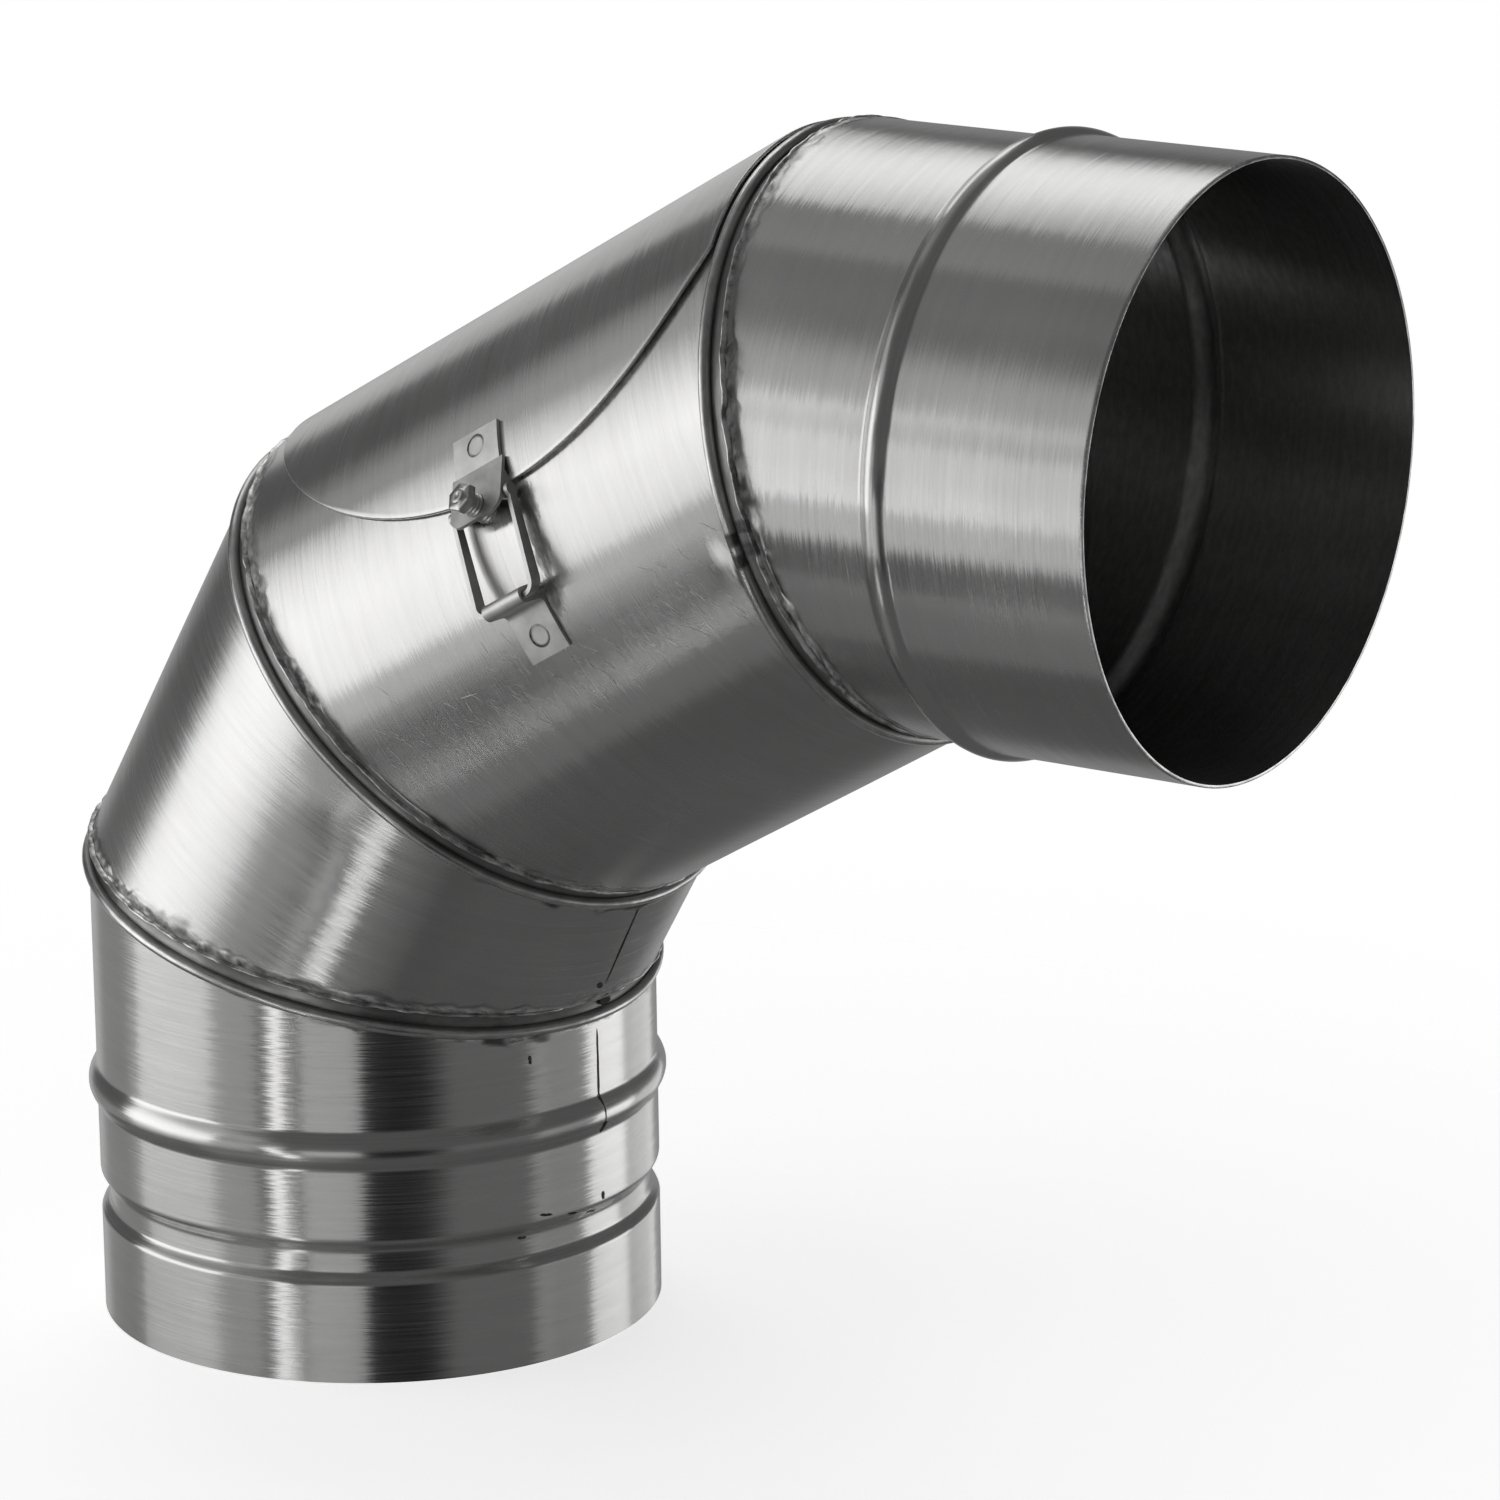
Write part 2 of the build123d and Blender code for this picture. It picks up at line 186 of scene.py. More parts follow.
def onSeam(seam, turnAngle, radius, height):
    turnAngle, radius, height = np.broadcast_arrays(turnAngle, radius, height)
    return (seams[seam]["centre"] + np.cos(turnAngle)[..., None] * radius[..., None] * seams[seam]["throat"]
            + np.sin(turnAngle)[..., None] * radius[..., None] * sideDir
            + height[..., None] * seams[seam]["axis"])


def seamReach(tube, seam, height):
    # length along the tube, at each angle, where its wall meets a height over the seam's plane
    lean = leanDir(tubeLean[tube])
    start = onTube(tube, theta, 0.0, elbow["tubeRadius"]) - seams[seam]["centre"]
    return (height - start @ seams[seam]["axis"]) / (lean @ seams[seam]["axis"])


def wrapUv(along):
    # millimetres round and along the tube
    along = np.asarray(along, float)
    roundTube = np.broadcast_to(turns * fullTurn * elbow["tubeRadius"], along.shape)
    return np.stack([roundTube, along], -1)


def dents(tube, along):
    wide = blotch(turns, along / elbow["wideLength"] + 7 * tube, elbow["wideCount"], 11 + tube) - 0.5
    fine = blotch(turns, along / elbow["fineLength"] + 3 * tube, elbow["fineCount"], 21 + tube) - 0.5
    return elbow["wideDent"] * wide + elbow["fineDent"] * fine


def spotPaint(seam, shift):
    # single black spots across a seam
    paint = np.zeros_like(turns)
    for middle, half in seamShape["spots"].get(seam, ()):
        beside = np.abs(besideAngle(middle + shift)) / half
        paint = np.maximum(paint, 1 - smooth(beside, 0.6, 1.2))
    return paint


# wear round the seams: cells are how many lumps go round, pairs are where something sets in and is full
runWear = {"wideCells": 23, "wide": (0.62, 0.85), "fineCells": 90, "spotCells": 61, "spots": (0.78, 0.92)}


def sootRuns(seed):
    # stretches of black soot round a seam, 0 to 1
    wide = smooth(roundSeam(runWear["wideCells"], seed), *runWear["wide"])
    spots = smooth(roundSeam(runWear["spotCells"], seed + 2), *runWear["spots"])
    return np.maximum(wide * roundSeam(runWear["fineCells"], seed + 1), spots)


beadWear = {
    "wave": 0.10, "waveCells": 60, "ripple": 0.06, "rippleCells": 210, "sway": 0.18, "swayCells": 26,
    "unevenFrom": (75.5, 77.5), "inset": 0.06, "weld": 0.25,
    "above": (-1.0, -0.35), "aboveCells": 40, "aboveSoot": (0.35, 0.45),  # least soot and what is added
    "under": (3.1, 3.4), "underCells": 55, "underGaps": (0.35, 0.6), "underSoot": 0.9, "spotSoot": 0.95,
}


def rolledBead(skin, seam):
    # bead of the lower tube, rolled over the next tube's flange
    seed = seamSeeds["bead"][seam]
    half, middle, crest = seamShape["beadHalf"], seamShape["beadMiddle"], seamShape["beadRadius"]
    bend = np.radians(np.linspace(-90, 90, 13))
    flank = [(radius, middle - half - drop) for radius, drop in seamShape["flank"]]
    arc = list(zip(crest - half + half * np.cos(bend), middle + half * np.sin(bend)))
    lip = [(seamShape["lipRadius"], middle + half - depth) for depth in (0.0, seamShape["lipDepth"])]
    radius, height = np.array(flank + arc + lip).T
    wave = (beadWear["wave"] * (roundSeam(beadWear["waveCells"], seed) - 0.5)
            + beadWear["ripple"] * (roundSeam(beadWear["rippleCells"], seed + 1) - 0.5))
    ring = radius[:, None] + wave * smooth(radius, *beadWear["unevenFrom"])[:, None] - beadWear["inset"]
    lift = height[:, None] + beadWear["sway"] * (roundSeam(beadWear["swayCells"], seed + 2) - 0.5)
    level = allRound(height)
    leastSoot, moreSoot = beadWear["aboveSoot"]
    channelDarkness = leastSoot + moreSoot * roundSeam(beadWear["aboveCells"], seed + 3)
    above = smooth(level, *beadWear["above"]) * channelDarkness
    gaps = smooth(roundSeam(beadWear["underCells"], seed + 4), *beadWear["underGaps"])
    under = beadWear["underSoot"] * smooth(-level, *beadWear["under"]) * gaps
    sootAndShade = np.maximum(np.maximum(above, under), beadWear["spotSoot"] * spotPaint(seam, 0.0))
    wrap = wrapUv(lift + seamShape["beadWrap"] + seamShape["wrapStep"] * seam)
    addGrid(skin, onSeam(seam, theta, ring, lift), wrap, beadWear["weld"], sootAndShade)


collarWear = {
    "edge": 0.1, "torn": 0.75, "tornCells": 170, "bitten": 0.5, "bittenCells": 44, "bites": (0.6, 0.8),
    "drop": 0.5, "dropCells": 90, "fineDrop": 0.3, "fineDropCells": 260,
    "runSoot": 0.7, "blackSoot": 0.9, "channelDarkness": (0.7, 0.3), "channelDarkCells": 34,
}


def swivelCollar(skin, seam):
    # channel floor and shoulder at the lower end of the upper tube, with a ragged welded edge
    seed = seamSeeds["collar"][seam]
    collar, shoulder = seamShape["collarRadius"], seamShape["shoulderRadius"]
    low, top = seamShape["shoulderLow"], seamShape["shoulderTop"]
    bites = smooth(roundSeam(collarWear["bittenCells"], seed + 4), *collarWear["bites"])
    torn = roundSeam(collarWear["tornCells"], seed) ** 2
    edge = -collarWear["edge"] - collarWear["torn"] * torn - collarWear["bitten"] * bites
    drop = (collarWear["drop"] * (roundSeam(collarWear["dropCells"], seed + 1) - 0.5)
            + collarWear["fineDrop"] * (roundSeam(collarWear["fineDropCells"], seed + 5) - 0.5))
    runs = collarWear["runSoot"] * sootRuns(seed + 7)
    black = collarWear["blackSoot"] * np.maximum(runs, spotPaint(seam, seamShape["spotShift"]))
    # darker in the channel between bead and shoulder, by this amount
    leastChannelDark, moreChannelDark = collarWear["channelDarkness"]
    channelDarkness = leastChannelDark + moreChannelDark * roundSeam(collarWear["channelDarkCells"], seed + 2)
    # radius, height, share of the ragged edge, share of its drop, darkening, most in the channel
    rows = [(collar, -1.6, 0, 0, 0.8),
            (collar, 0.6, 0, 0, 0.5),
            (collar, low - 0.7, 0, 0.5, 0.5),
            (collar + 0.3, low - 0.2, 0, 1, 0.7),
            (shoulder - 0.9, low, 0.7, 1, 0.4),
            (shoulder - 0.25, low + 0.05, 1, 1, 0.1),
            (shoulder, low + 0.25, 1, 1, 0.0),
            (shoulder, top - 0.3, 1, 1, 0.0),
            (shoulder - 0.25, top, 1, 1, 0.0),
            (shoulder - 1.2, top + 0.2, 1, 1, 0.05)]
    radius, height, raggedShare, dropShare, sootAndShadeShare = (allRound(column) for column in zip(*rows))
    radius = radius + edge * raggedShare
    height = height + drop * dropShare
    sootAndShade = np.maximum(sootAndShadeShare * channelDarkness, black)
    wrap = wrapUv(height + seamShape["collarWrap"] + seamShape["wrapStep"] * seam)
    addGrid(skin, onSeam(seam, theta, radius, height), wrap, raggedShare, sootAndShade)


# weld at the foot of a shoulder, in millimetres along the tube
footWeld = {
    "gapCells": 31, "gaps": (0.22, 0.4), "narrow": 1.0,
    "broad": 2.2, "broadCells": 83, "broadPower": 1.3, "fine": 1.6, "fineCells": 230,
    "tuck": 0.6, "heights": (0.25, 4), "heightShare": 0.72, "slope": 1.5,
    "lumps": (0.6, 0.75), "lumpLength": 1.3, "lumpCells": 150, "paintGain": 2.2,
    "outlineIn": (0.75, 0.95), "outlineOut": (1.0, 1.35), "outlineLength": 1.2, "outlineCells": 110,
    "outlineSoot": 0.75, "blackReach": (1.2, 0.8), "blackFade": (0.7, 1.3), "blackSoot": 0.85,
}


def weldFoot(tube, start, rise):
    # broken weld where the shoulder runs into the wall: radius added, paint and soot
    seam = tube - 1
    seed = seamSeeds["foot"][seam]
    present = smooth(roundSeam(footWeld["gapCells"], seed + 6), *footWeld["gaps"])
    broad = footWeld["broad"] * roundSeam(footWeld["broadCells"], seed) ** footWeld["broadPower"]
    fine = footWeld["fine"] * roundSeam(footWeld["fineCells"], seed + 1)
    wide = footWeld["narrow"] + present * (broad + fine)
    local = np.linalg.norm(onTube(tube, theta, start, elbow["tubeRadius"]) - seams[seam]["centre"], axis=-1)
    height = np.clip(seamShape["shoulderRadius"] - footWeld["tuck"] - local, *footWeld["heights"])
    far = rise / wide
    share = np.clip(1 - far, 0, 1)
    leastLump, moreLump = footWeld["lumps"]
    lumps = blotch(turns, rise / footWeld["lumpLength"] + 5, footWeld["lumpCells"], seed + 2)
    grown = footWeld["heightShare"] * height * share ** footWeld["slope"] * (leastLump + moreLump * lumps)
    paint = np.clip(share * footWeld["paintGain"], 0, 1) * present
    outline = smooth(far, *footWeld["outlineIn"]) * (1 - smooth(far, *footWeld["outlineOut"])) * present
    broken = blotch(turns, rise / footWeld["outlineLength"], footWeld["outlineCells"], seed + 3)
    wider, beyond = footWeld["blackReach"]
    black = sootRuns(seed + 9) * (1 - smooth(rise / (wide * wider + beyond), *footWeld["blackFade"]))
    sootAndShade = np.maximum(footWeld["outlineSoot"] * outline * broken, footWeld["blackSoot"] * black)
    return grown, paint, sootAndShade


endWear = {
    "narrow": 0.7, "broad": 2.2, "broadCells": 95, "broadPower": 1.6,
    "brightFade": (0.6, 1.0), "brightCells": 45, "brightGaps": (0.3, 0.55),
    "darkBeyond": 0.7, "darkFade": (0.7, 1.0), "darkCells": 64, "darkGaps": (0.45, 0.7), "darkSoot": 0.9,
}


def endPaint(before, seam):
    # thin ragged line on the lower tube where it meets its bead, by distance before it
    seed = seamSeeds["end"][seam]
    broad = roundSeam(endWear["broadCells"], seed) ** endWear["broadPower"]
    wide = endWear["narrow"] + endWear["broad"] * broad
    brightGaps = smooth(roundSeam(endWear["brightCells"], seed + 1), *endWear["brightGaps"])
    darkGaps = smooth(roundSeam(endWear["darkCells"], seed + 2), *endWear["darkGaps"])
    bright = (1 - smooth(before / wide, *endWear["brightFade"])) * brightGaps
    dark = (1 - smooth(before / (wide + endWear["darkBeyond"]), *endWear["darkFade"])) * darkGaps
    return bright, endWear["darkSoot"] * dark


# rows of each tube, closer together near its seams, as distances from them
nearRows = np.array([0, 0.3, 0.6, 0.9, 1.2, 1.5, 1.85, 2.2, 2.6, 3.0, 3.5, 4.1, 4.8, 6.0, 8.0, 11.0])
endRows = np.array([12.0, 10.5, 9.0, 7.8, 6.8, 6.0, 5.0, 4.2, 3.4,
                    2.8, 2.2, 1.7, 1.3, 1.0, 0.7, 0.45, 0.2, 0.0])
endZone = 12.5
footHeight = seamShape["shoulderMiddle"] - 0.1


def fewerRows(along, step):
    # the inner wall is plainer, so it takes fewer rows, with both ends kept
    rows = sorted(set(range(0, len(along), step)) | {len(along) - 1})
    return along[rows]


def between(first, last, count):
    # rings from one ring of lengths to another, without the ends
    share = np.linspace(0, 1, count)[1:-1]
    return first + share[:, None] * (last - first)


def addInside(skin, tube, along, radius):
    # the inside wall is painted darker all over, as painted shade
    addGrid(skin, onTube(tube, theta, along, radius), wrapUv(along), sootAndShade=elbow["insidePaintedShade"], flip=True)


def addRim(skin, tube, along, radius, weld=0.0):
    along, radius = allRound(along), allRound(radius)
    addGrid(skin, onTube(tube, theta, along, radius), wrapUv(radius), weld)


# male end with an inward groove and an outward stop bead
spigotShape = {
    "grooveStart": 27.0, "grooveWidth": 11.5, "grooveDepth": 2.4, "lowerSlope": 1.8, "upperSlope": 3.6,
    "lowerRounding": (0.4, 0.5), "upperRounding": 0.3,
    "beadMiddle": 62.7, "beadWidth": 10.0, "beadRise": 2.3, "beadFullness": 1.15,
    "crestRoom": 0.05, "plainTop": 72.0, "rimRounding": 0.1, "rimLift": 0.12, "insideStep": 3,
    "rows": ((0, 1.5, 4, 8, 13, 20), np.linspace(26, 40, 26), (45, 50, 54), np.linspace(57, 69, 22)),
}


def spigotOuter(z):
    # radius of the lower spigot's outside at a height
    start, end = spigotShape["grooveStart"], spigotShape["grooveStart"] + spigotShape["grooveWidth"]
    before, after = spigotShape["lowerRounding"]
    down = smooth(z, start - before, start + spigotShape["lowerSlope"] + after)
    rounding = spigotShape["upperRounding"]
    back = smooth(z, end - spigotShape["upperSlope"] - rounding, end + rounding)
    swing = np.clip((z - spigotShape["beadMiddle"]) / (spigotShape["beadWidth"] / 2), -1, 1)
    bead = spigotShape["beadRise"] * (1 - swing ** 2) ** spigotShape["beadFullness"]
    return elbow["tubeRadius"] - spigotShape["grooveDepth"] * (down - back) + bead


def makeSpigot(material):
    skin = newSkin()
    top = spigotShape["plainTop"]
    end = seamReach(0, 0, flankHeight)
    along = np.concatenate([allRound(np.concatenate([*spigotShape["rows"], (top,)])),
                            between(top, end - endZone, 9), end - endRows[:, None]])
    radius = spigotOuter(along) + dents(0, along) * smooth(along, 2, 12) * 0.8
    radius = np.minimum(radius, elbow["tubeRadius"] + spigotShape["beadRise"] - spigotShape["crestRoom"])
    weld, sootAndShade = endPaint(end - along, 0)
    addGrid(skin, onTube(0, theta, along, radius), wrapUv(along), weld, sootAndShade)
    inside = fewerRows(along, spigotShape["insideStep"])
    addInside(skin, 0, inside, spigotOuter(inside) - elbow["sheet"])
    rim = (bore, elbow["tubeRadius"] - spigotShape["rimRounding"], elbow["tubeRadius"])
    addRim(skin, 0, (0.0, 0.0, spigotShape["rimLift"]), rim)
    rolledBead(skin, 0)
    return makeSkin("lowerSpigotSkin", skin, material)


# the two middle tubes: a swell beside the first's upper seam and a lump of weld on the second
goreShape = {
    "insideStep": 12, "rows": 42,
    "seamSwell": {"angle": -79.0, "along": 62.0, "halfAngle": 6.0, "halfAlong": 7.0, "height": 0.5},
    "weldLump": {"angle": -76.0, "along": 139.5, "halfAngle": 3.6, "halfAlong": 3.2, "height": 0.7},
}


def makeGore(name, tube, material, lump):
    skin = newSkin()
    start, end = seamReach(tube, tube - 1, footHeight), seamReach(tube, tube, flankHeight)
    room = end - start
    rise = np.concatenate([allRound(nearRows), between(nearRows[-1], room - endZone, goreShape["rows"]),
                           room - endRows[:, None]])
    along = start + rise
    grown, paint, sootAndShade = weldFoot(tube, start, rise)
    endWeld, endSoot = endPaint(end - along, tube)
    beside = besideAngle(lump["angle"]) / lump["halfAngle"]
    swell = lump["height"] * np.exp(-beside ** 2 - ((along - lump["along"]) / lump["halfAlong"]) ** 2)
    radius = elbow["tubeRadius"] + dents(tube, along) + grown + swell
    addGrid(skin, onTube(tube, theta, along, radius), wrapUv(along),
            np.maximum(paint, endWeld), np.maximum(sootAndShade, endSoot))
    addInside(skin, tube, fewerRows(along, goreShape["insideStep"]), bore)
    swivelCollar(skin, tube - 1)
    rolledBead(skin, tube)
    return makeSkin(name, skin, material)


# female end: a wider bore up to a stop bead, measured back from its rim
socketShape = {
    "depth": 55.0, "bore": 75.0, "beadWidth": 7.6, "beadRise": 2.2, "beadFullness": 1.1,
    "plainFrom": 66.0, "rimRounding": 0.12, "rimWeld": 0.6, "insideStep": 2,
    "rows": (np.linspace(65.5, 53, 30), (50, 45, 40, 33, 26, 19, 12, 7, 4, 2, 1, 0.12)),
}
slipRadius = socketShape["bore"] + elbow["sheet"]


def socketOuter(back):
    # radius of the upper socket's outside, by the distance back from its rim
    low, high = socketShape["depth"], socketShape["depth"] + socketShape["beadWidth"]
    plain = elbow["tubeRadius"] + (slipRadius - elbow["tubeRadius"]) * (1 - smooth(back, low, high))
    swing = np.clip((back - (low + high) / 2) / (socketShape["beadWidth"] / 2), -1, 1)
    return plain + socketShape["beadRise"] * (1 - swing ** 2) ** socketShape["beadFullness"]


def makeSocket(material):
    skin = newSkin()
    length = elbow["lengths"][3]
    start = seamReach(3, 2, footHeight)
    plainEnd = length - socketShape["plainFrom"] - start
    heights = length - np.concatenate(socketShape["rows"])
    rise = np.concatenate([allRound(nearRows), between(nearRows[-1], plainEnd, 9), plainEnd[None, :],
                           heights[:, None] - start])
    along = start + rise
    grown, paint, sootAndShade = weldFoot(3, start, rise)
    back = length - along
    radius = socketOuter(back) + dents(3, along) * smooth(back, 2, 14) + grown
    addGrid(skin, onTube(3, theta, along, radius), wrapUv(along), paint, sootAndShade)
    inside = fewerRows(along, socketShape["insideStep"])
    addInside(skin, 3, inside, socketOuter(length - inside) - elbow["sheet"])
    rounding = socketShape["rimRounding"]
    rim = (slipRadius, slipRadius - rounding, socketShape["bore"])
    addRim(skin, 3, (length - rounding, length, length), rim, socketShape["rimWeld"])
    swivelCollar(skin, 2)
    return makeSkin("upperSocketSkin", skin, material)


# oval sheet round the heel of the long tube, drawn in where the seams cut it
coverShape = {
    "middle": 85.0, "halfLength": 97.0, "halfAngle": 69.7, "radius": 75.4, "sheet": 0.8, "margin": 2.0,
    "around": 540, "rings": 33, "underRings": 13, "edgeDrop": 0.25, "underWeld": 0.5,
    "edge": ((0.985, 0.0), (0.9955, 0.0), (0.998, 0.06)),  # share of the oval and drop, at its rounded edge
}


def makeCover(material):
    turn = np.linspace(0, fullTurn, coverShape["around"] + 1)
    reach = np.ones_like(turn)

    def place(share, radius):
        along = coverShape["middle"] + share * coverShape["halfLength"] * np.cos(turn)
        roundHeel = np.radians(share * coverShape["halfAngle"] * np.sin(turn))
        wrap = np.stack([(math.pi / 2 + roundHeel) * elbow["tubeRadius"], along], -1)
        return onTube(2, math.pi - roundHeel, along, radius), wrap

    def addRings(rings, weld=0.0):
        points, wraps = zip(*(place(share * reach, radius) for share, radius in rings))
        addGrid(skin, np.array(points), np.array(wraps), weld)

    limitLow = seamShape["shoulderTop"] + coverShape["margin"]
    limitHigh = seamShape["beadMiddle"] - seamShape["beadHalf"] - coverShape["margin"]
    for step in np.linspace(0.5, 1, 1001):
        points, wrap = place(step, coverShape["radius"])
        fits = (((points - seams[1]["centre"]) @ seams[1]["axis"] > limitLow)
                & ((points - seams[2]["centre"]) @ seams[2]["axis"] < limitHigh))
        reach = np.where(fits, step, reach)
    skin = newSkin()
    top = coverShape["radius"] + coverShape["sheet"]
    outerEdge = (1.0, top - coverShape["edgeDrop"])
    face = [(share, top) for share in np.linspace(0, 0.96, coverShape["rings"])]
    edge = [(share, top - drop) for share, drop in coverShape["edge"]]
    under = [(share, coverShape["radius"]) for share in np.linspace(1, 0, coverShape["underRings"])]
    addRings(face + edge + [outerEdge])
    addRings([outerEdge] + under, coverShape["underWeld"])
    return makeSkin("coverSkin", skin, material)


def link(tree, source, target):
    tree.links.new(source, target)


def newNode(tree, kind, operation=None, inputs=()):
    node = tree.nodes.new(kind)
    if operation:
        node.operation = operation
    for place, value in enumerate(inputs):
        if isinstance(value, (int, float, tuple, Vector)):
            node.inputs[place].default_value = value
        elif value is not None:
            link(tree, value, node.inputs[place])
    return node


def ranged(tree, value, low, high, outLow=0.0, outHigh=1.0):
    return newNode(tree, "ShaderNodeMapRange", None, (value, low, high, outLow, outHigh)).outputs["Result"]


def combined(tree, operation, first, second=None, clamp=False):
    node = newNode(tree, "ShaderNodeMath", operation, (first, second))
    node.use_clamp = clamp
    return node.outputs[0]


def vectors(tree, operation, first, second=None):
    return newNode(tree, "ShaderNodeVectorMath", operation, (first, second)).outputs


mixSockets = {"FLOAT": (2, 3, 0), "RGBA": (6, 7, 2)}  # both inputs and the output, by kind


def mixed(tree, kind, factor, first, second):
    node = newNode(tree, "ShaderNodeMix")
    node.data_type = kind
    firstPlace, secondPlace, result = mixSockets[kind]
    link(tree, factor, node.inputs["Factor"])
    link(tree, first, node.inputs[firstPlace])
    if isinstance(second, tuple):
        node.inputs[secondPlace].default_value = second
    else:
        link(tree, second, node.inputs[secondPlace])
    return node.outputs[result]


# brushed stainless sheet; the noises give scale round, scale along, detail, roughness and shift
sheetLook = {
    "grey": 0.62, "tint": (1.0, 0.995, 0.985), "streak": 0.055, "rough": 0.23, "aniso": 0.9, "brush": 0.03,
    "fine": (0.012, 1.9, 4.0, 0.7, 0.0), "medium": (0.03, 0.34, 3.0, 0.6, 5.0),
    "patch": (0.022, 0.02, 3.0, 0.6, 9.0), "mottle": (0.2, 0.6, 4.0, 0.6, 15.0),
    "line": (0.012, 2.4, 3.0, 0.6, 21.0),
    "span": (0.3, 0.7), "mediumShare": 0.6, "patchShade": (0.93, 1.06),  # span: the part of a noise in use
    "weldSpan": (0.38, 0.6), "weldShade": (0.42, 1.5), "sootAndShadeSpan": (0.25, 0.6), "sootAndShadeShare": (0.55, 1.0),
    "sootAndShadeDim": 0.93, "fineRough": (-0.04, 0.05), "patchRough": (-0.02, 0.02),
    "sootAndShadeRough": 0.3, "weldRough": 0.14, "groundRough": 0.1, "paintedGlint": 0.45,
    "darkPatches": (), "groundAndGlint": (),
}
# dark patches and a ground patch on the long tube: the first dark patch is a painted shadow beside the latch
# arm, and the ground patch is rougher and painted paler as a highlight; middle, half sizes and slant in
# millimetres round and along
latchPaintedShadow = {"round": 222.0, "along": 90.4, "halfRound": 15.0, "halfAlong": 2.8,
               "slant": -0.06, "ragged": 0.6, "depth": 0.8}
lowDarkPatch = {"round": 238.5, "along": 88.2, "halfRound": 4.5, "halfAlong": 2.4,
             "slant": -0.1, "ragged": 0.6, "depth": 0.75}
# ground weld patch: rougher and less brushed, and painted paler as a painted highlight
weldGroundAndGlint = {"round": 250.6, "along": 139.5, "halfRound": 7.0, "halfAlong": 4.2,
              "slant": 0.05, "ragged": 0.35, "depth": 1.0}


def sheetNoise(tree, wrap, seed, scaleRound, scaleAlong, detail, rough, shift):
    mapping = newNode(tree, "ShaderNodeMapping")
    mapping.inputs["Scale"].default_value = (scaleRound, scaleAlong, 1.0)
    mapping.inputs["Location"].default_value = (seed * 3.7 + shift, seed * 1.3 + shift, seed)
    link(tree, wrap, mapping.inputs["Vector"])
    noise = newNode(tree, "ShaderNodeTexNoise")
    for key, value in (("Scale", 1.0), ("Detail", detail), ("Roughness", rough)):
        noise.inputs[key].default_value = value
    link(tree, mapping.outputs["Vector"], noise.inputs["Vector"])
    return noise.outputs["Fac"]


def raggedPatch(tree, wrap, mottle, spot):
    # oval with a ragged edge
    split = newNode(tree, "ShaderNodeSeparateXYZ", None, (wrap,)).outputs
    besideRound = combined(tree, "SUBTRACT", split["X"], spot["round"])
    besideAlong = combined(tree, "SUBTRACT", combined(tree, "SUBTRACT", split["Y"], spot["along"]),
                           combined(tree, "MULTIPLY", besideRound, spot["slant"]))
    squareRound = combined(tree, "POWER", combined(tree, "DIVIDE", besideRound, spot["halfRound"]), 2.0)
    squareAlong = combined(tree, "POWER", combined(tree, "DIVIDE", besideAlong, spot["halfAlong"]), 2.0)
    reach = combined(tree, "SQRT", combined(tree, "ADD", squareRound, squareAlong))
    ragged = combined(tree, "ADD", reach, ranged(tree, mottle, 0.25, 0.75, -spot["ragged"], spot["ragged"]))
    return ranged(tree, ragged, 0.5, 1.15, spot["depth"], 0.0)


def brushedNormal(tree, line, tangent, brush):
    # fine brush lines lean the surface to and fro along the tangent
    lean = newNode(tree, "ShaderNodeVectorMath", "SCALE", (tangent,))
    link(tree, ranged(tree, line, 0.25, 0.75, -brush, brush), lean.inputs["Scale"])
    plain = newNode(tree, "ShaderNodeNewGeometry").outputs["Normal"]
    tilted = vectors(tree, "ADD", plain, lean.outputs["Vector"])["Vector"]
    return vectors(tree, "NORMALIZE", tilted)["Vector"]


